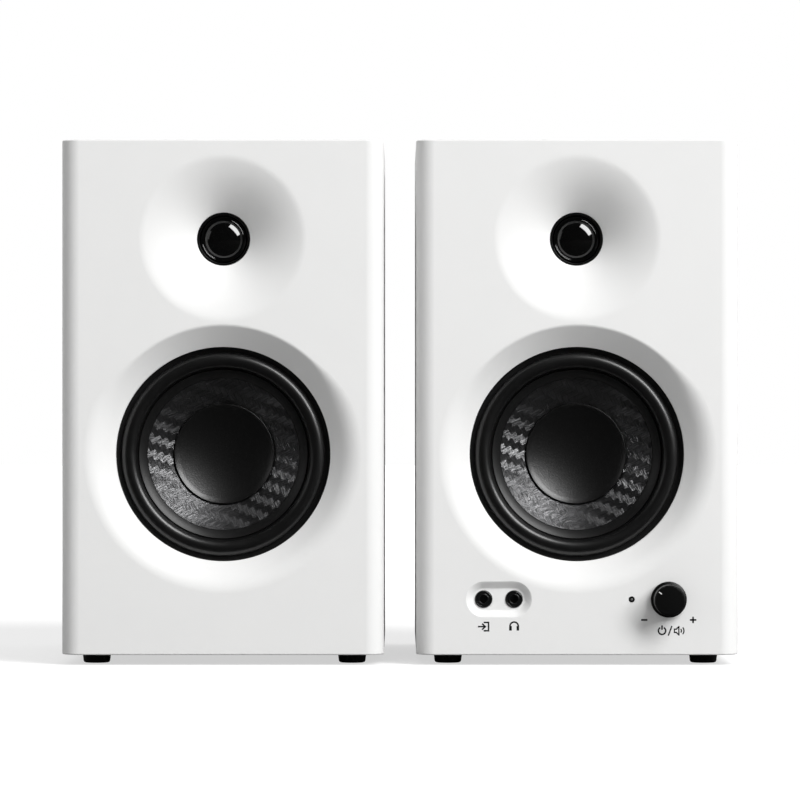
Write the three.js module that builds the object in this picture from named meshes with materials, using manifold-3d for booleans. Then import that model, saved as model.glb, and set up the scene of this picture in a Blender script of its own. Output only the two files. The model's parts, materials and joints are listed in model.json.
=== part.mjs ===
// A pair of powered two-way desktop speakers. The active cabinet, on the right, holds the amplifier and the
// controls, and drives the passive one, on the left, through their rear terminals.
// Millimetres. +X is to the right seen from the front, +Y to the back, +Z up. The origin is on the floor, at the
// middle of the pair's footprint. Inside a cabinet's own group, y is the depth behind the baffle's front face.
import * as THREE from "three";
import { mergeVertices } from "three/addons/utils/BufferGeometryUtils.js";
import Module from "manifold-3d";

const wasm = await Module();
wasm.setup();

// Clearances.
const seam = 0.3; // between fixed pieces that touch
const running = 0.4; // around pieces that move

// Sides of round pieces: large shapes in view, small ones, and hidden ones.
const sides = { large: 36, medium: 24, small: 16 };

// Driving sizes.
const cabinet = { width: 140, depth: 176, wall: 9, spacing: 14, corner: 1.5, topMargin: 7.4, rimGap: 2.5 };
const baffle = { thickness: 18, edgeRound: 8, web: 3 };
const foot = { radius: 6.25, height: 4.5, edge: 1, sideInset: 14, endInset: 24 };

const woofer = {
  fromBottom: 87,
  opening: 46.7, // radius of the hole in the baffle
  dishWidth: 9.3, // of the dished ring around that hole
  dishDepth: 8,
  lip: 2.7, // thickness of the baffle left in front of the basket
  flangeOverlap: 5.3, // basket flange hidden behind the lip
  shadowGap: 2.3, // flat of the surround between the lip and the roll
  rollRadius: 3.6,
  rubber: 0.8,
  lipWidth: 4.1, // surround glued on the cone
  coneAngle: THREE.MathUtils.degToRad(30),
  coneSkin: 1.1,
  capRadius: 22,
  capHollow: 4.8,
  capSkin: 0.7,
  coilRadius: 13.2,
  formerSkin: 0.6,
  travel: 3,
  sheet: 2, // basket steel
  spiderSkin: 0.8,
  spiderWave: 0.9,
  spiderNeck: 2, // glued flat at the coil
  spiderFoot: 5, // glued flat on the basket's ledge
  topPlate: 4.3,
  ledgeWidth: 4, // step in the basket that carries the spider
  windowWidth: 20, // of each opening in the basket's side
  magnetRadius: 36,
  magnetThickness: 12,
  magnetLip: 3, // by which the magnet stands out round the basket and the yoke
  yokePlate: 4,
  ventRadius: 4,
  coilGap: 1.2,
  coilTail: 3.5, // of the coil behind the top plate
};

const tweeter = {
  guideRadius: 35.3,
  guideDepth: 13,
  throatRadius: 11.64,
  throatLip: 2,
  plateRadius: 20,
  ringWidth: 0.75,
  domeRadius: 9,
  domeHeight: 3.6,
  rollWidth: 1.3,
  skin: 0.5,
  coilLength: 5.5,
  poleGap: 0.4,
  magnetRadius: 16,
  magnetDepth: 12,
};

const port = {
  fromTop: 46,
  bore: 17,
  wall: 2,
  length: 87,
  flare: 9.5,
  flareDepth: 12,
  shoulder: 4,
  rim: 4,
  proud: 2,
};

const controls = {
  fromBottom: 24.1,
  jackX: -34.1,
  jackSpacing: 13.2,
  ledX: 23.5,
  knobX: 39.4,
};
const recess = { floorWidth: 21.9, floorHeight: 9, slope: 3.3, depth: 2.5 };
const jack = { nose: 3.6, bore: 1.8, proud: 0.6, body: 11, boreDepth: 15 };
const led = { radius: 1.2, head: 2.2, headLength: 4, proud: 0.2 };
const knob = {
  proud: 11.5,
  backRadius: 7.8,
  frontRadius: 6.9,
  chamfer: 0.6,
  lift: 1.2, // clear of the baffle
  hubWall: 1.7,
  skirt: 1.4,
  skirtDepth: 3.5,
  top: 1.7,
};
const shaft = { radius: 3, flat: 1, end: 2.8, inside: 13 };
const encoder = { bushWall: 1.2, body: 13, depth: 8 };
encoder.bush = shaft.radius + encoder.bushWall;
const restTurn = THREE.MathUtils.degToRad(-52);

const rearPlate = { width: 100, height: 124, fromBottom: 13.5, thickness: 1.7, rim: 6, corner: 3 };
const toneKnob = { radius: 6, proud: 8, fromBottom: 123.5, x: 18, shaft: 3, inside: 10, lift: 0.8 };
const trs = { x: 18, fromBottom: 98.5, bore: 3.3, barrelWall: 1.3, nutWall: 2, nutProud: 2.2, body: 14, depth: 30 };
trs.barrel = trs.bore + trs.barrelWall;
trs.nut = trs.barrel + trs.nutWall;
const rca = { x: 8, fromBottom: 76, barrel: 4.15, bore: 1.6, boreDepth: 9, proud: 8, body: 14, depth: 12 };
const clip = {
  activeX: -23,
  activeFromBottom: 44,
  passiveFromBottom: 46,
  flangeWidth: 44,
  flangeHeight: 34,
  flange: 1.7,
  frameWidth: 37,
  frameHeight: 27,
  frame: 5.5, // how far the raised frame stands out
  inside: 12,
  lever: 10.8,
  leverGap: 5.2,
  pocketTop: 2.4,
  pocketHeight: 19,
  pocketFloor: -3,
  pivotY: 2.2,
  pivotZ: 6.5,
  pin: 1,
  pinLength: 1.2,
  wireHole: 1.3,
  wireGap: 0.4, // between a pocket and its wire hole
  leverTop: 1.6, // the lever's outline, about its pin
  leverBack: 3,
  leverDrop: 14,
  tabOut: 4.6,
  tabHeight: 2.5,
};
clip.leverSpacing = clip.lever + clip.leverGap;
const inlet = {
  x: 27,
  fromBottom: 28,
  flangeWidth: 28,
  flangeHeight: 18,
  flange: 1.7,
  bodyWidth: 20,
  bodyHeight: 13,
  inside: 17,
  cavityWidth: 15,
  cavityHeight: 8.4,
  cavityDepth: 13,
  pinSpacing: 8.6,
  pin: 1.2,
};
const mainsSwitch = {
  x: 27,
  fromBottom: 56,
  bezelWidth: 17,
  bezelHeight: 22,
  bezel: 1.5,
  bodyWidth: 14.4,
  bodyHeight: 19,
  inside: 14,
  rocker: 10,
  tip: 7.4,
  tipOut: 4.6,
  middleOut: 3.4,
  pivotBehindPlate: 1.5,
  swing: 8.5,
  floor: 6,
  heel: 1.5, // how far the rocker's back lies behind its pin
  heelInset: 2,
  pin: 1,
  pinLength: 1.2,
  rock: THREE.MathUtils.degToRad(10),
};
const board = {
  thickness: 1.6,
  standoff: 3, // radius of a pillar
  inset: 4.5, // of a pillar from the board's edges
  width: 84,
  amplifierGap: 14, // behind the control plate
  amplifierFrom: 70,
  amplifierTo: 129.5,
  potWidth: 12,
  potHeight: 11,
  sinkWidth: 50,
  sinkHeight: 16,
  sinkDepth: 14,
  sinkFrom: 72,
  canRadius: 6,
  canLength: 20,
  canX: 34,
  canFromBottom: 96,
  crossoverGap: 9, // in front of the rear panel
};
const supply = {
  width: 90,
  length: 54,
  clearance: 6,
  nearer: 14, // nearer to the front than half-way
  pillar: 6,
  inset: 5,
  parts: [[-20, 28, 0, 32, 24], [18, 16, -10, 16, 26], [18, 12, 14, 14, 16]], // x, width, y, length, height
};
const crossover = {
  width: 66,
  height: 58,
  above: 42, // its middle, above the terminal's flange
  inset: 5,
  coil: { inner: 5, outer: 13, length: 14, offset: 14 },
  can: { radius: 6, length: 22 },
  canOffset: { x: 16, z: 12 },
};

// Places worked out from those sizes. The cabinet is as tall as its two round rims and their margins make it.
cabinet.height =
  woofer.fromBottom +
  woofer.opening +
  woofer.dishWidth +
  cabinet.rimGap +
  2 * tweeter.guideRadius +
  cabinet.topMargin;
const frontY = knob.proud - (knob.proud + cabinet.depth + port.proud + toneKnob.proud) / 2;
const cabinetX = (cabinet.width + cabinet.spacing) / 2;
const panelFace = cabinet.depth - cabinet.wall;
const bottomZ = foot.height;
const topZ = foot.height + cabinet.height;
const wooferZ = bottomZ + woofer.fromBottom;
const tweeterZ = topZ - cabinet.topMargin - tweeter.guideRadius;
const portZ = topZ - port.fromTop;
const controlsZ = bottomZ + controls.fromBottom;
const plateFace = cabinet.depth + seam + rearPlate.thickness;
const plateBack = cabinet.depth + seam;

const finishes = {
  paint: { color: 0xe6e6e4, roughness: 0.45, metalness: 0 },
  wrap: { color: 0xe8e8e6, roughness: 0.5, metalness: 0 },
  blackPlastic: { color: 0x141414, roughness: 0.5, metalness: 0 },
  rubber: { color: 0x101010, roughness: 0.55, metalness: 0 },
  carbon: { color: 0x1c1c1e, roughness: 0.35, metalness: 0 },
  cloth: { color: 0xb08a4a, roughness: 0.9, metalness: 0 },
  dome: { color: 0x050505, roughness: 0.12, metalness: 0 },
  steel: { color: 0x8a8c8e, roughness: 0.4, metalness: 1 },
  ferrite: { color: 0x2a2a2c, roughness: 0.7, metalness: 0 },
  nickel: { color: 0xb9b6ae, roughness: 0.25, metalness: 1 },
  red: { color: 0xa01515, roughness: 0.4, metalness: 0 },
  circuit: { color: 0x1d4d2b, roughness: 0.6, metalness: 0 },
  lens: { color: 0x555555, roughness: 0.3, metalness: 0 },
};

// A closed geometry as a manifold-3d solid, turned the right way out.
function solid(geometry) {
  const bare = geometry.clone();
  bare.deleteAttribute("normal");
  bare.deleteAttribute("uv");
  const merged = mergeVertices(bare, 1e-4);
  const vertProperties = merged.attributes.position.array;
  const triVerts = new Uint32Array(merged.index.array);
  const made = new wasm.Manifold(new wasm.Mesh({ numProp: 3, vertProperties, triVerts }));
  if (made.volume() > 0) return made;
  for (let i = 0; i < triVerts.length; i += 3) {
    [triVerts[i + 1], triVerts[i + 2]] = [triVerts[i + 2], triVerts[i + 1]];
  }
  return new wasm.Manifold(new wasm.Mesh({ numProp: 3, vertProperties, triVerts }));
}

// Turned about the depth axis: a list of [radius, depth] that starts and ends on the axis, or closes on itself.
function turned(profile, count) {
  const points = profile.map(([radius, depth]) => new THREE.Vector2(radius, depth));
  const onAxis = points[0].x === 0 && points[points.length - 1].x === 0;
  if (!onAxis) points.push(points[0].clone());
  return solid(new THREE.LatheGeometry(points, count));
}

function disc(radius, front, back, count) {
  return turned([[0, front], [radius, front], [radius, back], [0, back]], count);
}

function ring(inner, outer, front, back, count) {
  return turned([[inner, front], [outer, front], [outer, back], [inner, back]], count);
}

// A box given by its width about x, its depth range and its height about z.
function block(x, width, front, back, z, height) {
  const geometry = new THREE.BoxGeometry(width, back - front, height);
  return solid(geometry.translate(x, (front + back) / 2, z));
}

// An outline in x and z, given its depth.
function slab(shape, front, back, bevel = {}) {
  const options = { depth: back - front, bevelEnabled: false, curveSegments: 4, ...bevel };
  const geometry = new THREE.ExtrudeGeometry(shape, options);
  return solid(geometry.rotateX(Math.PI / 2).translate(0, back, 0));
}

// An outline in y and z, given its width about x = 0.
function prism(points, width) {
  const shape = new THREE.Shape(points.map(([y, z]) => new THREE.Vector2(y, z)));
  const geometry = new THREE.ExtrudeGeometry(shape, { depth: width, bevelEnabled: false });
  const across = new THREE.Matrix4().makeBasis(
    new THREE.Vector3(0, 1, 0),
    new THREE.Vector3(0, 0, 1),
    new THREE.Vector3(1, 0, 0),
  );
  return solid(geometry.applyMatrix4(across).translate(-width / 2, 0, 0));
}

// A pin along x, about x = 0.
function crossPin(radius, length) {
  return solid(new THREE.CylinderGeometry(radius, radius, length, 12).rotateZ(Math.PI / 2));
}

function roundedRectangle(width, height, corner, x = 0, z = 0) {
  const shape = new THREE.Shape();
  const [right, top] = [width / 2 - corner, height / 2 - corner];
  shape.absarc(x + right, z + top, corner, 0, Math.PI / 2);
  shape.absarc(x - right, z + top, corner, Math.PI / 2, Math.PI);
  shape.absarc(x - right, z - top, corner, Math.PI, 1.5 * Math.PI);
  shape.absarc(x + right, z - top, corner, 1.5 * Math.PI, 2 * Math.PI);
  return shape;
}

function rectangle(width, height, x = 0, z = 0) {
  const [right, top] = [width / 2, height / 2];
  const corners = [[right, top], [-right, top], [-right, -top], [right, -top]];
  return new THREE.Shape(corners.map(([a, b]) => new THREE.Vector2(x + a, z + b)));
}

function join(first, ...rest) {
  return rest.reduce((all, one) => all.add(one), first);
}

function cut(first, ...rest) {
  return rest.reduce((all, one) => all.subtract(one), first);
}

function geometryOf(made) {
  const { vertProperties, triVerts } = made.getMesh();
  const geometry = new THREE.BufferGeometry();
  geometry.setAttribute("position", new THREE.BufferAttribute(vertProperties, 3));
  geometry.setIndex(new THREE.BufferAttribute(triVerts, 1));
  geometry.computeVertexNormals();
  return geometry;
}

function place(group, name, made, finish, position = [0, 0, 0]) {
  const mesh = new THREE.Mesh(geometryOf(made), new THREE.MeshStandardMaterial(finishes[finish]));
  mesh.name = name;
  mesh.position.set(...position);
  group.add(mesh);
  return mesh;
}

function subgroup(parent, x, y, z) {
  const group = new THREE.Group();
  group.position.set(x, y, z);
  parent.add(group);
  return group;
}

// Cabinet.

function cabinetSleeve() {
  const middle = bottomZ + cabinet.height / 2;
  const shape = roundedRectangle(cabinet.width, cabinet.height, cabinet.corner, 0, middle);
  const inside = 2 * cabinet.wall;
  shape.holes.push(rectangle(cabinet.width - inside, cabinet.height - inside, 0, middle));
  return slab(shape, baffle.thickness + seam, cabinet.depth);
}

// Depth of the tweeter's waveguide at a radius: shallow at its rim and steeper towards the throat.
function guideDepth(radius) {
  const share = (tweeter.guideRadius - radius) / (tweeter.guideRadius - tweeter.throatRadius);
  return tweeter.guideDepth * (0.55 * share + 0.45 * share * share);
}

function waveguideCut() {
  const steps = 4;
  const profile = [[0, -1], [tweeter.guideRadius, -1]];
  for (let i = 0; i <= steps; i += 1) {
    const radius = THREE.MathUtils.lerp(tweeter.guideRadius, tweeter.throatRadius, i / steps);
    profile.push([radius, guideDepth(radius)]);
  }
  const lip = tweeter.guideDepth + tweeter.throatLip;
  const seat = tweeter.plateRadius + seam;
  profile.push([tweeter.throatRadius, lip], [seat, lip], [seat, baffle.thickness + 1]);
  profile.push([0, baffle.thickness + 1]);
  return turned(profile, sides.large).translate([0, 0, tweeterZ]);
}

function wooferCut() {
  const { opening, dishWidth, dishDepth, lip, flangeOverlap } = woofer;
  const seat = opening + flangeOverlap + seam;
  const profile = [
    [0, -1],
    [opening + dishWidth, -1],
    [opening + dishWidth, 0],
    [opening + dishWidth / 2, dishDepth * 0.4],
    [opening, dishDepth],
    [opening, dishDepth + lip],
    [seat, dishDepth + lip],
    [seat, baffle.thickness + 1],
    [0, baffle.thickness + 1],
  ];
  return turned(profile, sides.large).translate([0, 0, wooferZ]);
}

// The outline seen from above has its two front corners rounded, and runs the baffle's full height.
function baffleBlank() {
  const half = cabinet.width / 2;
  const turn = half - baffle.edgeRound;
  const shape = new THREE.Shape();
  shape.absarc(-turn, baffle.edgeRound, baffle.edgeRound, Math.PI, 1.5 * Math.PI);
  shape.absarc(turn, baffle.edgeRound, baffle.edgeRound, 1.5 * Math.PI, 2 * Math.PI);
  shape.lineTo(half, baffle.thickness);
  shape.lineTo(-half, baffle.thickness);
  const options = { depth: cabinet.height, bevelEnabled: false, curveSegments: 6 };
  return solid(new THREE.ExtrudeGeometry(shape, options).translate(0, 0, bottomZ));
}

function frontBaffle(isActive) {
  const made = cut(baffleBlank(), waveguideCut(), wooferCut());
  if (!isActive) return made;
  const floor = recess.depth + baffle.web;
  const web = baffle.web + 1;
  const back = baffle.thickness + 1;
  const pocketLeft = controls.ledX - led.head - seam - 1;
  const pocketRight = controls.knobX + encoder.body / 2 + 2;
  const corner = recess.floorHeight / 2;
  const sloped = {
    bevelEnabled: true,
    bevelThickness: recess.depth,
    bevelSize: recess.slope,
    bevelSegments: 2,
  };
  const floorShape = roundedRectangle(recess.floorWidth, recess.floorHeight, corner, controls.jackX, controlsZ);
  const jackHoles = [-1, 1].map((side) => {
    const x = controls.jackX + (side * controls.jackSpacing) / 2;
    return disc(jack.nose + seam, 0, back, sides.medium).translate([x, 0, controlsZ]);
  });
  return cut(
    made,
    slab(floorShape, -4, 0, sloped),
    ...jackHoles,
    block(controls.jackX, 2 * jack.body + 6, floor, back, controlsZ, jack.body + 4),
    block((pocketLeft + pocketRight) / 2, pocketRight - pocketLeft, web, back, controlsZ, encoder.body + 4),
    disc(led.radius + seam, -1, back, sides.small).translate([controls.ledX, 0, controlsZ]),
    disc(encoder.bush + seam, -1, back, sides.small).translate([controls.knobX, 0, controlsZ]),
  );
}

function rearPanel(isActive) {
  const inside = 2 * (cabinet.wall + seam);
  const middle = bottomZ + cabinet.height / 2;
  const front = panelFace;
  const outline = rectangle(cabinet.width - inside, cabinet.height - inside, 0, middle);
  const panel = slab(outline, front, cabinet.depth);
  const tubeOuter = port.bore + port.flare + seam + port.wall / 2;
  const portHole = disc(tubeOuter, front - 1, cabinet.depth + 1, sides.medium).translate([0, 0, portZ]);
  const plateMiddle = bottomZ + rearPlate.fromBottom + rearPlate.height / 2;
  const window = isActive
    ? rectangle(rearPlate.width - 2 * rearPlate.rim, rearPlate.height - 2 * rearPlate.rim, 0, plateMiddle)
    : rectangle(
        clip.frameWidth - clip.flange + 2 * seam,
        clip.frameHeight - clip.flange + 2 * seam,
        0,
        bottomZ + clip.passiveFromBottom,
      );
  return cut(panel, portHole, slab(window, front - 1, cabinet.depth + 1));
}

function portTube() {
  const { bore, wall, length, flare, flareDepth, shoulder, rim, proud } = port;
  const end = cabinet.depth + proud;
  const start = end - length;
  const body = bore + flare + wall / 2;
  const profile = [
    [bore, start],
    [bore + wall, start],
    [bore + wall, panelFace - shoulder],
    [body, panelFace],
    [body, cabinet.depth + seam],
    [body + rim, cabinet.depth + seam],
    [body + rim, end],
  ];
  const steps = 4;
  for (let i = steps; i >= 0; i -= 1) {
    const angle = ((i / steps) * Math.PI) / 2;
    profile.push([bore + flare * (1 - Math.cos(angle)), end - flareDepth * (1 - Math.sin(angle))]);
  }
  return turned(profile, sides.medium);
}

function addFeet(group, prefix) {
  const { radius, height, edge, sideInset, endInset } = foot;
  const top = height - seam;
  const profile = [[0, 0], [radius - edge, 0], [radius, edge], [radius, top], [0, top]];
  const pad = turned(profile, sides.small);
  const across = cabinet.width / 2 - sideInset;
  for (const [end, y] of [["front", endInset], ["rear", cabinet.depth - endInset]]) {
    for (const [side, x] of [["left", -across], ["right", across]]) {
      const mesh = place(group, `${prefix}_foot_${end}_${side}`, pad, "rubber", [x, y, 0]);
      mesh.rotation.x = Math.PI / 2;
    }
  }
}

// Woofer, about its own axis. Depths are named from front to back.
const rollFront = woofer.dishDepth + woofer.lip + seam;
const rollCentre = woofer.opening - woofer.shadowGap - woofer.rollRadius;
const coneEdge = rollCentre - woofer.rollRadius;
const coneFront = rollFront + woofer.rubber + seam;
const flangeRadius = woofer.opening + woofer.flangeOverlap;
const formerInner = woofer.coilRadius - woofer.formerSkin;

function coneDepth(radius) {
  return coneFront + (coneEdge - radius) * Math.tan(woofer.coneAngle);
}

const spiderFront = coneDepth(woofer.coilRadius) + woofer.coneSkin + woofer.travel + 1;
const ledge = spiderFront + woofer.spiderSkin + seam;
const basketFloor = ledge + woofer.travel + woofer.spiderWave;
const topPlateBack = basketFloor + woofer.sheet + woofer.topPlate;
const magnetFront = topPlateBack + seam;
const yokeFront = magnetFront + woofer.magnetThickness + seam;
const basketWaist = woofer.magnetRadius - woofer.magnetLip;
const plateBore = woofer.coilRadius + woofer.coilGap;

function wooferBasket() {
  const { sheet, ledgeWidth, windowWidth } = woofer;
  const front = rollFront + woofer.rubber + seam;
  const mouth = rollCentre + woofer.rollRadius;
  const profile = [
    [mouth, front],
    [flangeRadius, front],
    [flangeRadius, front + sheet],
    [mouth + sheet, front + sheet],
    [basketWaist + sheet, ledge - 1],
    [basketWaist + sheet, basketFloor],
    [basketWaist, basketFloor + sheet],
    [basketWaist, topPlateBack],
    [plateBore, topPlateBack],
    [plateBore, basketFloor],
    [basketWaist - ledgeWidth, basketFloor],
    [basketWaist - ledgeWidth, ledge],
    [basketWaist, ledge],
    [basketWaist, ledge - 1],
    [mouth, front + sheet],
  ];
  const made = turned(profile, sides.small);
  const windows = 4;
  const reach = flangeRadius - basketWaist / 2;
  const middle = basketWaist / 2 + reach / 2;
  const bar = sheet + 2;
  const opening = block(middle, reach, front + bar, ledge - bar, 0, windowWidth);
  const cuts = Array.from({ length: windows }, (_, i) => opening.rotate([0, (360 / windows) * i, 0]));
  return cut(made, ...cuts);
}

function wooferSurround() {
  const { rollRadius, rubber, lipWidth } = woofer;
  const outer = [[flangeRadius - 1, rollFront]];
  const inner = [[flangeRadius - 1, rollFront + rubber]];
  const steps = 4;
  for (let i = 0; i <= steps; i += 1) {
    const angle = (Math.PI * i) / steps;
    const thin = rollRadius - rubber;
    outer.push([rollCentre + rollRadius * Math.cos(angle), rollFront - rollRadius * Math.sin(angle)]);
    inner.push([rollCentre + thin * Math.cos(angle), rollFront + rubber / 2 - thin * Math.sin(angle)]);
  }
  const lipEnd = coneEdge - lipWidth;
  outer.push([lipEnd, coneDepth(lipEnd) - seam - rubber]);
  inner.push([coneEdge, coneFront - seam], [lipEnd, coneDepth(lipEnd) - seam]);
  return turned([...outer, ...inner.reverse()], sides.medium);
}

function wooferCone() {
  const { coneSkin, coilRadius } = woofer;
  const tail = topPlateBack + woofer.coilTail;
  const profile = [
    [coneEdge, coneFront],
    [formerInner, coneDepth(formerInner)],
    [formerInner, tail],
    [coilRadius, tail],
    [coilRadius, coneDepth(coilRadius) + coneSkin],
    [coneEdge, coneFront + coneSkin],
  ];
  return turned(profile, sides.medium);
}

function dustCap() {
  const { capRadius, capHollow, capSkin } = woofer;
  const edge = coneDepth(capRadius) - seam - capSkin;
  const steps = 3;
  const face = Array.from({ length: steps + 1 }, (_, i) => {
    const share = i / steps;
    return [capRadius * share, edge + capHollow * (1 - share * share)];
  });
  const back = face.map(([radius, depth]) => [radius, depth + capSkin]);
  return turned([...face, ...back.reverse()], sides.medium);
}

function wooferSpider() {
  const { spiderSkin, spiderWave, spiderNeck, spiderFoot } = woofer;
  const [inner, outer] = [woofer.coilRadius + running, basketWaist - running];
  const steps = 5;
  const face = [[inner, spiderFront]];
  for (let i = 0; i <= steps; i += 1) {
    const radius = THREE.MathUtils.lerp(inner + spiderNeck, outer - spiderFoot, i / steps);
    const wave = i === 0 || i === steps ? 0 : (-1) ** i;
    face.push([radius, spiderFront + spiderWave * wave]);
  }
  face.push([outer, spiderFront]);
  const back = face.map(([radius, depth]) => [radius, depth + spiderSkin]);
  return turned([...face, ...back.reverse()], sides.small);
}

function wooferYoke() {
  const { coilGap, ventRadius, yokePlate, magnetRadius, magnetLip } = woofer;
  const pole = formerInner - coilGap / 2;
  const top = basketFloor + woofer.sheet;
  const back = yokeFront + yokePlate;
  const profile = [
    [ventRadius, top],
    [pole, top],
    [pole, yokeFront],
    [magnetRadius - magnetLip, yokeFront],
    [magnetRadius - magnetLip, back],
    [ventRadius, back],
  ];
  return turned(profile, sides.small);
}

function addWoofer(group, prefix) {
  const inner = subgroup(group, 0, 0, wooferZ);
  const magnetBore = plateBore + 2;
  const magnet = ring(magnetBore, woofer.magnetRadius, magnetFront, yokeFront - seam, sides.medium);
  place(inner, `${prefix}_woofer_basket`, wooferBasket(), "steel");
  place(inner, `${prefix}_woofer_surround`, wooferSurround(), "rubber");
  place(inner, `${prefix}_woofer_cone`, wooferCone(), "carbon");
  place(inner, `${prefix}_woofer_dust_cap`, dustCap(), "carbon");
  place(inner, `${prefix}_woofer_spider`, wooferSpider(), "cloth");
  place(inner, `${prefix}_woofer_magnet`, magnet, "ferrite");
  place(inner, `${prefix}_woofer_yoke`, wooferYoke(), "steel");
}

// Tweeter, about its own axis.
const tweeterSeat = tweeter.guideDepth + tweeter.throatLip + seam;
const collarOuter = tweeter.throatRadius - seam;
const collarInner = collarOuter - tweeter.ringWidth;
const domeRim = tweeterSeat - seam;
const tweeterMagnetFront = baffle.thickness + seam;

function tweeterPlate() {
  const front = tweeter.guideDepth + seam;
  const profile = [
    [collarInner, front],
    [collarOuter, front],
    [collarOuter, tweeterSeat],
    [tweeter.plateRadius, tweeterSeat],
    [tweeter.plateRadius, baffle.thickness],
    [collarInner, baffle.thickness],
  ];
  return turned(profile, sides.medium);
}

// The dome, its small roll and its voice coil, which move as one.
function tweeterDome() {
  const { domeRadius, domeHeight, rollWidth, skin, coilLength } = tweeter;
  const ball = (domeRadius ** 2 + domeHeight ** 2) / (2 * domeHeight);
  const arch = (radius) => domeRim - Math.sqrt(ball ** 2 - radius ** 2) + (ball - domeHeight);
  const steps = 4;
  const radii = Array.from({ length: steps + 1 }, (_, i) => (domeRadius * i) / steps);
  const face = radii.map((radius) => [radius, arch(radius)]);
  const edge = domeRadius + rollWidth;
  const rim = [
    [domeRadius + rollWidth / 3, domeRim - skin],
    [domeRadius + (2 * rollWidth) / 3, domeRim - skin],
    [edge, domeRim],
    [edge, domeRim + skin],
    [domeRadius, domeRim + skin],
    [domeRadius, domeRim + coilLength],
    [domeRadius - skin, domeRim + coilLength],
    [domeRadius - skin, domeRim + skin],
  ];
  const under = radii.slice(0, steps).map((radius) => [radius, arch(radius) + skin]);
  return turned([...face, ...rim, ...under.reverse()], sides.small);
}

function tweeterMagnet() {
  const { domeRadius, skin, poleGap, magnetRadius, magnetDepth, coilLength } = tweeter;
  const pole = domeRadius - skin - poleGap;
  const gapOuter = domeRadius + poleGap;
  const groove = domeRim + coilLength + 2;
  const back = tweeterMagnetFront + magnetDepth;
  const profile = [
    [0, tweeterMagnetFront - 1],
    [pole, tweeterMagnetFront - 1],
    [pole, groove],
    [gapOuter, groove],
    [gapOuter, tweeterMagnetFront],
    [magnetRadius, tweeterMagnetFront],
    [magnetRadius, back],
    [0, back],
  ];
  return turned(profile, sides.small);
}

function addTweeter(group, prefix) {
  const inner = subgroup(group, 0, 0, tweeterZ);
  place(inner, `${prefix}_tweeter_plate`, tweeterPlate(), "blackPlastic");
  place(inner, `${prefix}_tweeter_dome`, tweeterDome(), "dome");
  place(inner, `${prefix}_tweeter_magnet`, tweeterMagnet(), "steel");
}

// Spring-clip terminal: y is 0 at the face that its flange sits on, and z is 0 at its middle.
const pocketWidth = clip.lever + 2 * running;

function terminalHousing() {
  const { frameWidth, frameHeight, frame, flange, inside, pivotY, pivotZ } = clip;
  const shell = join(
    block(0, clip.flangeWidth, seam, seam + flange, 0, clip.flangeHeight),
    block(0, frameWidth, seam, frame, 0, frameHeight),
    block(0, frameWidth - flange, -inside, seam + flange, 0, frameHeight - flange),
  );
  const top = pivotZ + clip.pocketTop;
  const cuts = [-1, 1].flatMap((side) => {
    const x = (side * clip.leverSpacing) / 2;
    const wireZ = top - clip.pocketHeight - clip.wireHole - clip.wireGap;
    const middle = top - clip.pocketHeight / 2;
    const pocket = block(x, pocketWidth, clip.pocketFloor, frame + 1, middle, clip.pocketHeight);
    const pinLength = pocketWidth + 2 * (clip.pinLength + running);
    const pinHole = crossPin(clip.pin + seam, pinLength).translate([x, pivotY, pivotZ]);
    const wireHole = disc(clip.wireHole, -inside / 2, frame + 1, 12).translate([x, 0, wireZ]);
    return [pocket, pinHole, wireHole];
  });
  return cut(shell, ...cuts);
}

// The lever hangs from its pin at the origin, and its tab stands out of the frame.
function terminalLever() {
  const { leverTop: top, leverBack, leverDrop, tabOut, tabHeight } = clip;
  const outline = [[-top, top], [-top, -leverBack], [top, -leverDrop], [tabOut, -leverDrop]];
  outline.push([tabOut, tabHeight - leverDrop], [top, top]);
  return join(prism(outline, clip.lever), crossPin(clip.pin, clip.lever + 2 * clip.pinLength));
}

function addTerminal(group, prefix, x, surface, z) {
  const inner = subgroup(group, x, surface, z);
  place(inner, `${prefix}_speaker_terminal`, terminalHousing(), "blackPlastic");
  for (const [colour, side, finish] of [["red", 1, "red"], ["black", -1, "blackPlastic"]]) {
    const position = [(side * clip.leverSpacing) / 2, clip.pivotY, clip.pivotZ];
    place(inner, `${prefix}_terminal_lever_${colour}`, terminalLever(), finish, position);
  }
}

// Front controls of the active cabinet.

function jackSocket() {
  const bodyFront = recess.depth + baffle.web + seam;
  const bodyBack = baffle.thickness - 1;
  const nose = disc(jack.nose, recess.depth - jack.proud, bodyFront + 1, sides.medium);
  const body = block(0, jack.body, bodyFront, bodyBack, 0, jack.body);
  return cut(join(nose, body), disc(jack.bore, -1, jack.boreDepth, sides.small));
}

function statusLed() {
  const web = baffle.web + 1;
  const profile = [
    [0, -led.proud],
    [led.radius, -led.proud],
    [led.radius, web + seam],
    [led.head, web + seam],
    [led.head, web + seam + led.headLength],
    [0, web + seam + led.headLength],
  ];
  return turned(profile, sides.small);
}

// A round bar with a flat, which the knob's bore matches.
function flattedBar(radius, flat, front, back) {
  const bar = disc(radius, front, back, sides.small);
  return cut(bar, block(0, 2 * radius, front - 1, back + 1, radius - flat / 2, flat));
}

function volumeKnob() {
  const { proud, backRadius, frontRadius, chamfer, lift, skirt, skirtDepth, top } = knob;
  const hub = shaft.radius + knob.hubWall;
  const hollow = backRadius - skirt;
  const body = turned(
    [
      [0, -proud],
      [frontRadius - chamfer, -proud],
      [frontRadius, -proud + chamfer],
      [backRadius, -lift],
      [hollow, -lift],
      [hollow, -lift - skirtDepth],
      [hub, -lift - skirtDepth],
      [hub, -lift],
      [0, -lift],
    ],
    sides.medium,
  );
  return cut(body, flattedBar(shaft.radius + seam, shaft.flat, -proud + top, 0));
}

function volumeShaft() {
  return flattedBar(shaft.radius, shaft.flat, -knob.proud + shaft.end, shaft.inside);
}

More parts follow.
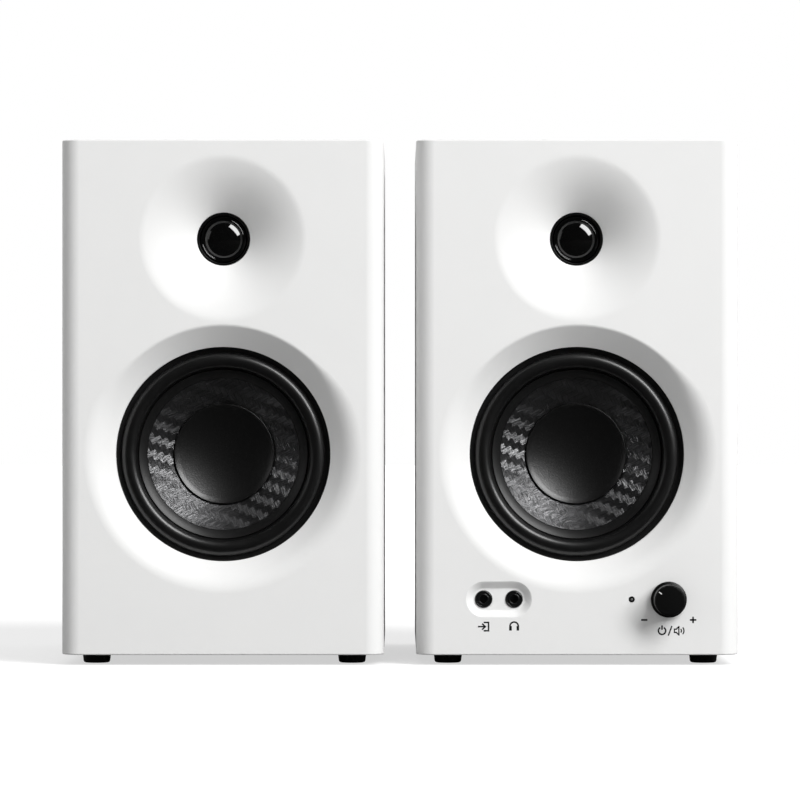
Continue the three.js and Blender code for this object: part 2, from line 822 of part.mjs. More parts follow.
function volumeEncoder() {
  const front = baffle.web + 1 + seam;
  const body = block(0, encoder.body, front, front + encoder.depth, 0, encoder.body);
  const bush = disc(encoder.bush, 0, front + 1, sides.small);
  return cut(join(body, bush), disc(shaft.radius + seam, -1, shaft.inside + seam + 1, sides.small));
}

function addFrontControls(group) {
  const row = subgroup(group, 0, 0, controlsZ);
  const half = controls.jackSpacing / 2;
  place(row, "aux_jack", jackSocket(), "blackPlastic", [controls.jackX - half, 0, 0]);
  place(row, "headphone_jack", jackSocket(), "blackPlastic", [controls.jackX + half, 0, 0]);
  place(row, "status_led", statusLed(), "lens", [controls.ledX, 0, 0]);
  place(row, "volume_encoder", volumeEncoder(), "nickel", [controls.knobX, 0, 0]);
  const turning = subgroup(row, controls.knobX, 0, 0);
  turning.rotation.y = restTurn;
  place(turning, "volume_shaft", volumeShaft(), "nickel");
  place(turning, "volume_knob", volumeKnob(), "blackPlastic");
}

// Rear plate of the active cabinet and what it carries.

function controlPlate() {
  const middle = bottomZ + rearPlate.fromBottom + rearPlate.height / 2;
  const shape = roundedRectangle(rearPlate.width, rearPlate.height, rearPlate.corner, 0, middle);
  const hole = (radius, x, fromBottom) =>
    disc(radius, plateBack - 1, plateFace + 1, sides.small).translate([x, 0, bottomZ + fromBottom]);
  const window = (width, height, x, fromBottom) =>
    block(x, width + 2 * seam, plateBack - 1, plateFace + 1, bottomZ + fromBottom, height + 2 * seam);
  return cut(
    slab(shape, plateBack, plateFace),
    ...[-1, 1].map((side) => hole(toneKnob.shaft + running, side * toneKnob.x, toneKnob.fromBottom)),
    ...[-1, 1].map((side) => hole(trs.barrel + seam, side * trs.x, trs.fromBottom)),
    ...[-1, 1].map((side) => hole(rca.barrel + seam, side * rca.x, rca.fromBottom)),
    window(clip.frameWidth - clip.flange, clip.frameHeight - clip.flange, clip.activeX, clip.activeFromBottom),
    window(inlet.bodyWidth, inlet.bodyHeight, inlet.x, inlet.fromBottom),
    window(mainsSwitch.bodyWidth, mainsSwitch.bodyHeight, mainsSwitch.x, mainsSwitch.fromBottom),
  );
}

function rearKnob() {
  const { radius, lift, inside } = toneKnob;
  const grip = disc(radius, plateFace + lift, cabinet.depth + port.proud + toneKnob.proud, sides.small);
  return join(grip, disc(toneKnob.shaft, plateFace - inside, plateFace + lift + 1, sides.small));
}

function trsSocket() {
  const back = plateBack - seam;
  const nutFront = plateFace + seam;
  const body = block(0, trs.body, plateFace - trs.depth, back, 0, trs.body);
  const barrel = disc(trs.barrel, back - 1, nutFront + 1, sides.medium);
  const nut = disc(trs.nut, nutFront, nutFront + trs.nutProud, 12);
  const bore = disc(trs.bore, plateFace - trs.depth + 2, nutFront + trs.nutProud + 1, sides.medium);
  return cut(join(body, barrel, nut), bore);
}

function rcaPair() {
  const back = plateBack - seam;
  const tip = plateFace + rca.proud;
  const body = block(0, 2 * rca.x + rca.body, back - rca.depth, back, 0, rca.body);
  const at = (made, side) => made.translate([side * rca.x, 0, 0]);
  const barrels = [-1, 1].map((side) => at(disc(rca.barrel, back - 1, tip, 20), side));
  const bores = [-1, 1].map((side) => at(disc(rca.bore, tip - rca.boreDepth, tip + 1, 12), side));
  return cut(join(body, ...barrels), ...bores);
}

function mainsInlet() {
  const { flangeWidth, flangeHeight, flange, bodyWidth, bodyHeight, inside, cavityDepth } = inlet;
  const face = plateFace + seam + flange;
  const floor = face - cavityDepth;
  const shell = join(
    block(0, flangeWidth, plateFace + seam, face, 0, flangeHeight),
    block(0, bodyWidth, plateFace - inside, face, 0, bodyHeight),
  );
  const cavity = slab(roundedRectangle(inlet.cavityWidth, inlet.cavityHeight, 3), floor, face + 1);
  const pins = [-1, 1].map((side) =>
    disc(inlet.pin, floor - 1, face - 2, 12).translate([(side * inlet.pinSpacing) / 2, 0, 0]),
  );
  return join(cut(shell, cavity), ...pins);
}

const rockerPivot = plateFace - mainsSwitch.pivotBehindPlate;

function switchHousing() {
  const { bezelWidth, bezelHeight, bezel, bodyWidth, bodyHeight, inside, rocker, swing, pin } = mainsSwitch;
  const face = plateFace + seam + bezel;
  const shell = join(
    block(0, bezelWidth, plateFace + seam, face, 0, bezelHeight),
    block(0, bodyWidth, plateFace - inside, face, 0, bodyHeight),
  );
  const opening = block(0, rocker + 2 * running, rockerPivot - mainsSwitch.floor, face + 1, 0, 2 * swing);
  const pinLength = rocker + 2 * (mainsSwitch.pinLength + running);
  return cut(shell, opening, crossPin(pin + seam, pinLength).translate([0, rockerPivot, 0]));
}

function switchRocker() {
  const { tip, tipOut, middleOut, rocker, heel, heelInset, pin, pinLength } = mainsSwitch;
  const back = tip - heelInset;
  const outline = [[tipOut, tip], [-heel, back], [-heel, -back], [tipOut, -tip], [middleOut, 0]];
  return join(prism(outline, rocker), crossPin(pin, rocker + 2 * pinLength));
}

// The amplifier board stands on four pillars behind the plate's upper half, with gaps for the two deep sockets.
function amplifierBoard() {
  const { width, amplifierFrom: from, amplifierTo: to, inset } = board;
  const back = plateBack - board.amplifierGap;
  const front = back - board.thickness;
  const at = (fromBottom) => bottomZ + fromBottom;
  const both = (make) => [-1, 1].map(make);
  const sheet = block(0, width, front, back, at((from + to) / 2), to - from);
  const gaps = both((side) => {
    const gap = trs.body + 1;
    return block(side * trs.x, gap, front - 1, back + 1, at(trs.fromBottom), gap);
  });
  const pillars = [-1, 1].flatMap((side) =>
    [from + inset, to - inset].map((fromBottom) => {
      const pillar = disc(board.standoff, front, plateBack - seam, 8);
      return pillar.translate([side * (width / 2 - inset), 0, at(fromBottom)]);
    }),
  );
  const pots = both((side) => {
    const { potWidth, potHeight } = board;
    const x = side * toneKnob.x;
    const z = at(toneKnob.fromBottom);
    const can = block(x, potWidth, front, plateBack - seam, z, potHeight);
    return cut(can, disc(toneKnob.shaft + running, front - 1, plateBack, sides.small).translate([x, 0, z]));
  });
  const { sinkWidth, sinkHeight, sinkDepth, sinkFrom } = board;
  const sinkMiddle = at(sinkFrom + sinkHeight / 2);
  const heatSink = block(0, sinkWidth, front - sinkDepth, front + 0.5, sinkMiddle, sinkHeight);
  const capacitors = both((side) => {
    const can = disc(board.canRadius, front - board.canLength, front + 0.5, 12);
    return can.translate([side * board.canX, 0, at(board.canFromBottom)]);
  });
  return join(cut(sheet, ...gaps), ...pillars, ...pots, heatSink, ...capacitors);
}

// The power supply stands on the cabinet's floor, between the woofer's magnet and the rear panel.
function powerSupply() {
  const { width, length, clearance, nearer, pillar, inset, parts } = supply;
  const floor = bottomZ + cabinet.wall + seam;
  const top = floor + clearance;
  const middle = (2 * woofer.magnetRadius + panelFace) / 2 - nearer;
  const piece = (x, wide, y, long, low, high) =>
    block(x, wide, y - long / 2, y + long / 2, (low + high) / 2, high - low);
  const pillars = [-1, 1].flatMap((side) =>
    [-1, 1].map((end) => {
      const y = middle + end * (length / 2 - inset);
      return piece(side * (width / 2 - inset), pillar, y, pillar, floor, top + 0.5);
    }),
  );
  const tall = parts.map(([x, wide, y, long, high]) => piece(x, wide, middle + y, long, top + 1, top + high));
  return join(piece(0, width, middle, length, top, top + board.thickness), ...pillars, ...tall);
}

function crossoverBoard() {
  const { width, height, above, inset, coil, can, canOffset } = crossover;
  const back = panelFace - board.crossoverGap;
  const front = back - board.thickness;
  const middle = bottomZ + clip.passiveFromBottom + clip.flangeHeight / 2 + above;
  const at = (made, x, z) => made.translate([x, 0, middle + z]);
  const pillar = disc(board.standoff, front, panelFace - seam, 8);
  const pillars = [-1, 1].flatMap((side) =>
    [-1, 1].map((end) => at(pillar, side * (width / 2 - inset), end * (height / 2 - inset))),
  );
  const winding = ring(coil.inner, coil.outer, front - coil.length, front + 0.5, sides.small);
  const capacitors = [-1, 1].map((end) => {
    const made = disc(can.radius, front - can.length, front + 0.5, 12);
    return at(made, canOffset.x, end * canOffset.z);
  });
  return join(
    block(0, width, front, back, middle, height),
    ...pillars,
    at(winding, -coil.offset, 0),
    ...capacitors,
  );
}

function addRearControls(group) {
  place(group, "control_plate", controlPlate(), "blackPlastic");
  const at = (x, fromBottom) => [x, 0, bottomZ + fromBottom];
  place(group, "treble_knob", rearKnob(), "blackPlastic", at(toneKnob.x, toneKnob.fromBottom));
  place(group, "bass_knob", rearKnob(), "blackPlastic", at(-toneKnob.x, toneKnob.fromBottom));
  place(group, "trs_jack_left", trsSocket(), "blackPlastic", at(-trs.x, trs.fromBottom));
  place(group, "trs_jack_right", trsSocket(), "blackPlastic", at(trs.x, trs.fromBottom));
  place(group, "rca_jack_pair", rcaPair(), "nickel", at(0, rca.fromBottom));
  place(group, "power_inlet", mainsInlet(), "blackPlastic", at(inlet.x, inlet.fromBottom));
  const switchAt = at(mainsSwitch.x, mainsSwitch.fromBottom);
  place(group, "power_switch_housing", switchHousing(), "blackPlastic", switchAt);
  const rockerAt = [switchAt[0], rockerPivot, switchAt[2]];
  place(group, "power_switch_rocker", switchRocker(), "blackPlastic", rockerAt).rotation.x = mainsSwitch.rock;
  place(group, "amplifier_board", amplifierBoard(), "circuit");
  place(group, "power_supply_board", powerSupply(), "circuit");
}

// One cabinet with what both kinds hold.
function speaker(prefix, isActive) {
  const group = new THREE.Group();
  group.position.set(isActive ? cabinetX : -cabinetX, frontY, 0);
  place(group, `${prefix}_cabinet_sleeve`, cabinetSleeve(), "wrap");
  place(group, `${prefix}_front_baffle`, frontBaffle(isActive), "paint");
  place(group, `${prefix}_rear_panel`, rearPanel(isActive), "wrap");
  place(group, `${prefix}_port_tube`, portTube(), "blackPlastic", [0, 0, portZ]);
  addFeet(group, prefix);
  addWoofer(group, prefix);
  addTweeter(group, prefix);
  if (isActive) {
    addTerminal(group, prefix, clip.activeX, plateFace, bottomZ + clip.activeFromBottom);
    addFrontControls(group);
    addRearControls(group);
  } else {
    addTerminal(group, prefix, 0, cabinet.depth, bottomZ + clip.passiveFromBottom);
    place(group, "passive_crossover_board", crossoverBoard(), "circuit");
  }
  return group;
}

const pair = new THREE.Group();
pair.add(speaker("passive", false), speaker("active", true));

export default pair;
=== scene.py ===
import json
import math

import bmesh
import bpy
from mathutils import Matrix, Vector
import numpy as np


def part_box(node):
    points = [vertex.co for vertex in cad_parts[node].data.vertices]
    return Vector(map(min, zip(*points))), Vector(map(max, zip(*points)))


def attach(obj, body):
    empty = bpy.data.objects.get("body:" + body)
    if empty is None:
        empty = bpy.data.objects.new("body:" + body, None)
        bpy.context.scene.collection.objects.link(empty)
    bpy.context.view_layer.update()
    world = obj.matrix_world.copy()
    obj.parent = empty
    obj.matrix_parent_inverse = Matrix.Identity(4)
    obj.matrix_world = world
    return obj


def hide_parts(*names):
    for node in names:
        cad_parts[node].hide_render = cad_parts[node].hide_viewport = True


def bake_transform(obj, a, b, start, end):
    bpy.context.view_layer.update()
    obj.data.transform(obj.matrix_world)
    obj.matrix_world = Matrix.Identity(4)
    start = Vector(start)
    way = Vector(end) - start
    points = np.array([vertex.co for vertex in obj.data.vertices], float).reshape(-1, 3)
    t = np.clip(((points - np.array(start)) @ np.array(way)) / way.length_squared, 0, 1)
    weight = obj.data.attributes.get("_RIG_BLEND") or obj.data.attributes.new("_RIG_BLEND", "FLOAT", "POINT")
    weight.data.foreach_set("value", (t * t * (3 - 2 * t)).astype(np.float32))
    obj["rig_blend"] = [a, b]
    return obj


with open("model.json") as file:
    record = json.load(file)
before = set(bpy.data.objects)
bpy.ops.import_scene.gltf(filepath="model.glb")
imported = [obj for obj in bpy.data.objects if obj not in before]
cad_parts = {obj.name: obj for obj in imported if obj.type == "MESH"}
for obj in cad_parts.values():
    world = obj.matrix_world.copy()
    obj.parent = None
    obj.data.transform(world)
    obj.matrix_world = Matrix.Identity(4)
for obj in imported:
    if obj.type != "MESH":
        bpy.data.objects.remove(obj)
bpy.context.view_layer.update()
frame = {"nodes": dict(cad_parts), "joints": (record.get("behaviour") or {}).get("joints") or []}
scene = bpy.context.scene
scene.view_settings.view_transform = "Standard"

mm = 0.001
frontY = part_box("active_front_baffle")[0].y  # the baffles' front face; depths are measured behind it
speakers = ("passive", "active")


def middleOf(node):
    low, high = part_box(node)
    return (low + high) / 2


def centreOf(node):
    middle = middleOf(node)
    return middle.x, middle.z


def depthOf(y):
    return (y - frontY) / mm


print("frame loaded, front at", round(frontY, 4))


class Signal:
    # one output of a node, so that shader sums can be written as sums
    def __init__(self, paint, socket):
        self.paint = paint
        self.socket = socket

    def math(self, operation, first, second=None):
        return self.paint.node("ShaderNodeMath", {"operation": operation}, {0: first, 1: second})

    def __add__(self, other):
        return self.math("ADD", self, other)

    def __radd__(self, other):
        return self.math("ADD", other, self)

    def __sub__(self, other):
        return self.math("SUBTRACT", self, other)

    def __rsub__(self, other):
        return self.math("SUBTRACT", other, self)

    def __mul__(self, other):
        return self.math("MULTIPLY", self, other)

    def __rmul__(self, other):
        return self.math("MULTIPLY", other, self)

    def __truediv__(self, other):
        return self.math("DIVIDE", self, other)

    def __mod__(self, other):
        return self.math("FLOORED_MODULO", self, other)

    def __gt__(self, other):
        return self.math("GREATER_THAN", self, other)

    def __lt__(self, other):
        return self.math("LESS_THAN", self, other)

    def __abs__(self):
        return self.math("ABSOLUTE", self)

    def floor(self):
        return self.math("FLOOR", self)

    def ripples(self, length):
        # a wave that comes round again after this length
        return self.math("SINE", self * (math.tau / length))


class Paint:
    def __init__(self, name, world=False):
        self.owner = (bpy.data.worlds if world else bpy.data.materials).new(name)
        self.owner.use_nodes = True
        self.tree = self.owner.node_tree
        self.tree.nodes.clear()
        self.output = self.tree.nodes.new("ShaderNodeOutputWorld" if world else "ShaderNodeOutputMaterial")

    def node(self, kind, settings=None, sockets=None, out=0):
        made = self.tree.nodes.new(kind)
        for key, value in (settings or {}).items():
            setattr(made, key, value)
        for key, value in (sockets or {}).items():
            if isinstance(value, Signal):
                self.tree.links.new(value.socket, made.inputs[key])
            elif value is not None:
                made.inputs[key].default_value = value
        return Signal(self, made.outputs[out])

    def place(self):
        return self.node("ShaderNodeTexCoord", out="Object")

    def axes(self, vector):
        split = self.node("ShaderNodeSeparateXYZ", {}, {0: vector})
        outputs = split.socket.node.outputs
        return [Signal(self, outputs[i]) for i in range(3)]

    def rays(self, *names):
        path = self.node("ShaderNodeLightPath").socket.node
        return [Signal(self, path.outputs[name]) for name in names]

    def vector(self, x, y, z):
        return self.node("ShaderNodeCombineXYZ", {}, {0: x, 1: y, 2: z})

    def stretched(self, scale):
        return self.node("ShaderNodeMapping", {}, {"Vector": self.place(), "Scale": scale})

    def join(self, operation, first, second=None, scale=None):
        sockets = {0: first, 1: second, "Scale": scale}
        return self.node("ShaderNodeVectorMath", {"operation": operation}, sockets)

    def noise(self, size, detail=2, roughness=0.5, vector=None):
        sockets = {"Vector": vector or self.place(), "Scale": 1 / size}
        sockets.update({"Detail": detail, "Roughness": roughness})
        return self.node("ShaderNodeTexNoise", {}, sockets)

    def cells(self, size, feature="F1"):
        sockets = {"Vector": self.place(), "Scale": 1 / size}
        return self.node("ShaderNodeTexVoronoi", {"feature": feature}, sockets)

    def blend(self, share, first, second):
        sockets = {0: share, 6: (*first, 1), 7: (*second, 1)}
        return self.node("ShaderNodeMix", {"data_type": "RGBA"}, sockets, 2)

    def bump(self, height, depth):
        return self.node("ShaderNodeBump", {}, {"Height": height, "Distance": depth, "Strength": 1.0})

    def finish(self, shader):
        self.tree.links.new(shader.socket, self.output.inputs["Surface"])
        return self.owner

    def surface(self, colour, roughness, normal, specular=0.5, metallic=0.0):
        sockets = {
            "Base Color": colour,
            "Roughness": roughness,
            "Normal": normal,
            "Specular IOR Level": specular,
            "Metallic": metallic,
        }
        return self.finish(self.node("ShaderNodeBsdfPrincipled", {}, sockets))


def paintedWhite():
    look = {
        "light": (0.812, 0.812, 0.806),
        "dark": (0.79, 0.79, 0.785),
        "patch": 0.03,
        "peel": 0.0009,
        "dust": 0.00022,
        "depth": 0.000012,
        "roughness": 0.40,
        "specular": 0.27,
    }
    paint = Paint("baffle_white")
    patches = paint.noise(look["patch"], 3)
    peel = paint.noise(look["peel"], 3, 0.6)
    dust = paint.noise(look["dust"], 2)
    colour = paint.blend(patches, look["dark"], look["light"])
    roughness = look["roughness"] + patches * 0.06 + peel * 0.06
    normal = paint.bump(peel * 0.7 + dust * 0.3, look["depth"])
    return paint.surface(colour, roughness, normal, look["specular"])


def vinylWrap():
    look = {
        "light": (0.808, 0.808, 0.803),
        "dark": (0.775, 0.775, 0.77),
        "pebble": 0.0006,
        "fold": 0.0018,
        "patch": 0.05,
        "depth": 0.00004,
        "roughness": 0.44,
        "worn": 0.56,  # edges more pointed than this are rubbed smooth
    }
    paint = Paint("cabinet_vinyl")
    pebbles = paint.cells(look["pebble"], "SMOOTH_F1")
    folds = paint.noise(look["fold"], 4, 0.6)
    patches = paint.noise(look["patch"], 2)
    edge = (paint.node("ShaderNodeNewGeometry", out="Pointiness") > look["worn"]) * 0.35
    colour = paint.blend(folds * 0.5 + patches * 0.5, look["dark"], look["light"])
    roughness = look["roughness"] + folds * 0.1 - edge * 0.2
    normal = paint.bump(pebbles * 0.6 + folds * 0.4, look["depth"])
    return paint.surface(colour, roughness, normal)


def mouldedPlastic(name, dark, light, grain=0.0004, depth=0.00003, roughness=0.42, specular=0.35):
    paint = Paint(name)
    fine = paint.noise(grain, 3, 0.6)
    patches = paint.noise(0.012, 3)
    colour = paint.blend(patches * 0.6 + fine * 0.4, dark, light)
    rough = roughness + fine * 0.12 + patches * 0.06
    return paint.surface(colour, rough, paint.bump(fine, depth), specular)


def softRubber():
    look = {
        "dark": (0.0015, 0.0015, 0.0015),
        "light": (0.004, 0.004, 0.0041),
        "grain": 0.0003,
        "bloom": 0.009,
        "depth": 0.000012,
        "roughness": 0.25,
        "specular": 0.6,
    }
    paint = Paint("surround_rubber")
    fine = paint.noise(look["grain"], 3, 0.65)
    bloom = paint.noise(look["bloom"], 3, 0.6)
    colour = paint.blend(bloom, look["dark"], look["light"])
    roughness = look["roughness"] + bloom * 0.11 + fine * 0.05
    normal = paint.bump(fine * 0.6 + bloom * 0.4, look["depth"])
    return paint.surface(colour, roughness, normal, look["specular"])


def wovenFibre():
    # two-over, two-under twill: each tow is a bundle of round fibres that shine across their run
    weave = {
        "tow": 0.0023,
        "turn": math.radians(26),
        "offset": 400,  # tows counted from far outside, so that no count is negative
        "fibres": 40,  # across one tow
        "fibreRun": 0.005,
        "spread": 5.4,  # how far round each fibre the light is caught
        "crown": 0.15,
        "light": 0.175,
        "gap": 0.46,  # from a tow's middle, in tows
        "roughness": 0.33,
    }
    paint = Paint("woven_fibre")
    x, _, z = paint.axes(paint.place())
    cosine, sine = math.cos(weave["turn"]), math.sin(weave["turn"])
    across = (x * cosine + z * sine) / weave["tow"] + weave["offset"]
    along = (z * cosine - x * sine) / weave["tow"] + weave["offset"]
    over = ((across.floor() + along.floor()) % 4) > 1.5
    under = 1 - over
    run = over * across + under * along  # one set of tows runs across, the other along
    side = over * along + under * across
    tow = side.floor()
    reach = paint.vector(run * (weave["tow"] / weave["fibreRun"]), side * weave["fibres"], tow + over * 7.3)
    fibres = paint.noise(1.0, 1, 0.5, reach)
    bulge = (side % 1) - 0.5
    tilt = (fibres - 0.5) * weave["spread"] + bulge * weave["crown"]
    normal = paint.node("ShaderNodeNewGeometry", out="Normal")
    course = paint.vector(over * cosine - under * sine, 0.0, over * sine + under * cosine)
    beside = paint.join("NORMALIZE", paint.join("CROSS_PRODUCT", normal, course))
    turned = paint.join("NORMALIZE", paint.join("ADD", normal, paint.join("SCALE", beside, scale=tilt)))
    streaks = paint.noise(1.0, 1, 0.5, paint.vector(run * 0.25, side * 6, tow + over * 9.5))
    gap = (abs(bulge) > weave["gap"]) * 0.4
    resin = paint.noise(0.004, 2)
    shine = weave["light"] * (0.6 + streaks * 0.3) * (1 - gap)
    colour = paint.vector(shine, shine, shine * 1.02)
    roughness = weave["roughness"] + resin * 0.05 + gap * 0.2
    return paint.surface(colour, roughness, turned, metallic=1.0)


def gluedLip():
    look = {"dark": (0.0025, 0.0025, 0.0025), "light": (0.006, 0.006, 0.0061), "grain": 0.0005, "smear": 0.006}
    paint = Paint("cone_lip")
    grain = paint.noise(look["grain"], 3, 0.6)
    smears = paint.noise(look["smear"], 3, 0.6)
    colour = paint.blend(smears * 0.6 + grain * 0.4, look["dark"], look["light"])
    roughness = 0.36 + smears * 0.05 + grain * 0.03
    return paint.surface(colour, roughness, paint.bump(grain, 0.000008), 0.4)


def pressedCap():
    look = {
        "dark": (0.001, 0.001, 0.001),
        "light": (0.004, 0.004, 0.004),
        "leather": 0.0011,
        "grit": 0.0006,
        "glint": 0.0007,
        "depth": 0.00007,
        "roughness": 0.29,
        "specular": 0.62,
    }
    paint = Paint("cap_skin")
    creases = paint.cells(look["leather"], "DISTANCE_TO_EDGE")
    grit = paint.noise(look["grit"], 3, 0.7)
    # painted highlights: small spots made lighter in the colour stand in for the cap's sparkle, and they also
    # raise its roughness there
    paintedGlints = paint.cells(look["glint"]) < 0.2
    colour = paint.blend(grit * 0.6 + paintedGlints * 0.4, look["dark"], look["light"])
    roughness = look["roughness"] + grit * 0.1 + paintedGlints * 0.1
    normal = paint.bump(creases * 0.4 + grit * 0.6, look["depth"])
    return paint.surface(colour, roughness, normal, look["specular"])


def coatedSilk():
    look = {
        "dark": (0.0008, 0.0008, 0.0008),
        "light": (0.002, 0.002, 0.002),
        "thread": 0.00022,
        "wave": 0.004,
        "depth": 0.000004,
        "roughness": 0.03,
        "specular": 0.6,
    }
    paint = Paint("dome_silk")
    x, _, z = paint.axes(paint.place())
    threads = x.ripples(look["thread"]) * 0.5
    wefts = z.ripples(look["thread"])
    waves = paint.noise(look["wave"], 2)
    colour = paint.blend(waves, look["dark"], look["light"])
    roughness = look["roughness"] + waves * 0.03
    normal = paint.bump((threads + wefts) * 0.04 + waves, look["depth"])
    return paint.surface(colour, roughness, normal, look["specular"])


def metal(name, dark, light, roughness, run=(1, 1, 1), depth=0.000006):
    # run stretches the scratches: a smaller number makes them longer along that axis
    paint = Paint(name)
    scratches = paint.noise(0.0005, 3, 0.6, paint.stretched(run))
    stains = paint.noise(0.01, 3, 0.6)
    colour = paint.blend(scratches * 0.4 + stains * 0.6, dark, light)
    rough = roughness + scratches * 0.1 + stains * 0.06
    return paint.surface(colour, rough, paint.bump(scratches, depth), metallic=1.0)


def stiffCloth():
    look = {"dark": (0.30, 0.17, 0.05), "light": (0.52, 0.34, 0.13), "thread": math.tau / 9000, "resin": 0.004}
    paint = Paint("spider_cloth")
    x, _, z = paint.axes(paint.place())
    warp, weft = x.ripples(look["thread"]), z.ripples(look["thread"])
    resin = paint.noise(look["resin"], 3)
    colour = paint.blend(resin * 0.6 + warp * weft * 0.2, look["dark"], look["light"])
    return paint.surface(colour, 0.7 + resin * 0.15, paint.bump(warp + weft, 0.00003))


def circuitBoard():
    look = {"dark": (0.012, 0.08, 0.03), "light": (0.05, 0.19, 0.08), "track": 0.006, "grain": 0.0006}
    paint = Paint("circuit_green")
    tracks = paint.cells(look["track"], "DISTANCE_TO_EDGE") < 0.08
    grain = paint.noise(look["grain"], 2)
    colour = paint.blend(tracks * 0.6 + grain * 0.3, look["dark"], look["light"])
    return paint.surface(colour, 0.35 + grain * 0.2, paint.bump(tracks, 0.00003))


def ferriteGrey():
    look = {"dark": (0.03, 0.03, 0.032), "light": (0.075, 0.075, 0.08), "grit": 0.0008, "chip": 0.01}
    paint = Paint("ferrite_grey")
    grit = paint.noise(look["grit"], 4, 0.7)
    chips = paint.noise(look["chip"], 3)
    colour = paint.blend(grit * 0.5 + chips * 0.5, look["dark"], look["light"])
    return paint.surface(colour, 0.6 + grit * 0.2, paint.bump(grit, 0.00006))


def printedInk(name, dark, light):
    paint = Paint(name)
    speckle = paint.noise(0.0002, 3, 0.7)
    colour = paint.blend(speckle, dark, light)
    return paint.surface(colour, 0.5 + speckle * 0.2, paint.bump(speckle, 0.000008), 0.2)


def smokedLens():
    paint = Paint("led_lens")
    haze = paint.noise(0.0003, 2)
    colour = paint.blend(haze, (0.10, 0.10, 0.10), (0.22, 0.22, 0.22))
    return paint.surface(colour, 0.12 + haze * 0.1, paint.bump(haze, 0.00001))


white = paintedWhite()
vinyl = vinylWrap()
rubber = softRubber()
carbon = wovenFibre()
lipMatt = gluedLip()
capSkin = pressedCap()
silk = coatedSilk()
ferrite = ferriteGrey()
cloth = stiffCloth()
circuit = circuitBoard()
lens = smokedLens()
# dark and light, then grain, depth of the grain, roughness and specular
footRubber = mouldedPlastic("foot_rubber", (0.008, 0.008, 0.008), (0.018, 0.018, 0.018), 0.0006, 0.00004, 0.6, 0.3)
blackPlastic = mouldedPlastic("black_plastic", (0.005, 0.005, 0.0052), (0.011, 0.011, 0.0115))
satinBlack = mouldedPlastic(
    "knob_black", (0.0012, 0.0012, 0.0012), (0.003, 0.003, 0.003), 0.0003, 0.000005, 0.26, 0.3
)
glossBlack = mouldedPlastic(
    "jack_black", (0.0025, 0.0025, 0.0025), (0.006, 0.006, 0.006), 0.0005, 0.000006, 0.13, 0.7
)
redPlastic = mouldedPlastic("red_plastic", (0.30, 0.012, 0.010), (0.42, 0.022, 0.016), 0.0005, 0.00002, 0.32, 0.45)
whitePlastic = mouldedPlastic("white_plastic", (0.62, 0.62, 0.60), (0.72, 0.72, 0.70), 0.0005, 0.00002, 0.3, 0.45)
plateBlack = mouldedPlastic(
    "plate_black", (0.010, 0.010, 0.0105), (0.022, 0.022, 0.023), 0.0005, 0.00005, 0.5, 0.35
)
basketBlack = mouldedPlastic("basket_black", (0.012, 0.012, 0.012), (0.03, 0.03, 0.03), 0.0007, 0.00005, 0.5, 0.4)
rawBoard = mouldedPlastic("raw_board", (0.10, 0.062, 0.034), (0.17, 0.11, 0.065), 0.0007, 0.00005, 0.75, 0.2)
nickel = metal("nickel_plate", (0.55, 0.53, 0.50), (0.72, 0.70, 0.66), 0.16)
zinc = metal("zinc_steel", (0.38, 0.38, 0.39), (0.56, 0.56, 0.57), 0.3, (1, 1, 0.1))
screwSteel = metal("screw_black", (0.03, 0.03, 0.032), (0.06, 0.06, 0.063), 0.3)
inkWhite = printedInk("ink_white", (0.62, 0.62, 0.62), (0.80, 0.80, 0.80))
inkDark = printedInk("ink_dark", (0.004, 0.004, 0.0045), (0.012, 0.012, 0.013))
print("materials made")


def addPiece(name, shape, material, body="cabinets", replaced=(), crease=35):
    mesh = bpy.data.meshes.new(name)
    shape.to_mesh(mesh)
    shape.free()
    mesh.shade_smooth()
    mesh.set_sharp_from_angle(angle=math.radians(crease))
    mesh.materials.append(material)
    piece = bpy.data.objects.new(name, mesh)
    scene.collection.objects.link(piece)
    if body:
        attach(piece, body)
    if replaced:
        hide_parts(*replaced)
    return piece


def filleted(points, steps=4):
    # (radius, depth) corners in millimetres; a third number rounds that corner
    made = []
    for i, point in enumerate(points):
        here = Vector(point[:2])
        if len(point) < 3:
            made.append(tuple(here))
            continue
        before = (Vector(points[i - 1][:2]) - here).normalized()
        after = (Vector(points[(i + 1) % len(points)][:2]) - here).normalized()
        half = before.angle(after) / 2
        reach = point[2] / math.tan(half)
        middle = here + (before + after).normalized() * point[2] / math.sin(half)
        start, end = here + before * reach - middle, here + after * reach - middle
        for step in range(steps + 1):
            made.append(tuple(middle + start.lerp(end, step / steps).normalized() * point[2]))
    return made


def turn(profile, centre, steps=96, first=0, sweep=360, shape=None):
    # spun about an axis along Y; angles run clockwise from 12 o'clock, seen from the front
    shape = shape or bmesh.new()
    kept = set(shape.verts)
    spot = Vector((centre[0], 0, centre[1]))
    start = Matrix.Rotation(math.radians(first), 3, "Y")
    corners = [shape.verts.new(spot + start @ Vector((0, frontY + d * mm, r * mm))) for r, d in profile]
    onAxis = profile[0][0] == 0 and profile[-1][0] == 0
    pairs = list(zip(corners, corners[1:])) + ([] if onAxis else [(corners[-1], corners[0])])
    edges = [shape.edges.new(pair) for pair in pairs]
    whole = sweep == 360
    bmesh.ops.spin(
        shape,
        geom=corners + edges,
        cent=spot,
        axis=(0, 1, 0),
        angle=math.radians(sweep),
        steps=steps,
        use_merge=whole,
    )
    new = [v for v in shape.verts if v not in kept]
    bmesh.ops.remove_doubles(shape, verts=new, dist=1e-6)
    if not whole:
        ends = [e for e in shape.edges if e.is_boundary]
        bmesh.ops.holes_fill(shape, edges=ends, sides=0)
    bmesh.ops.recalc_face_normals(shape, faces=shape.faces)
    return shape


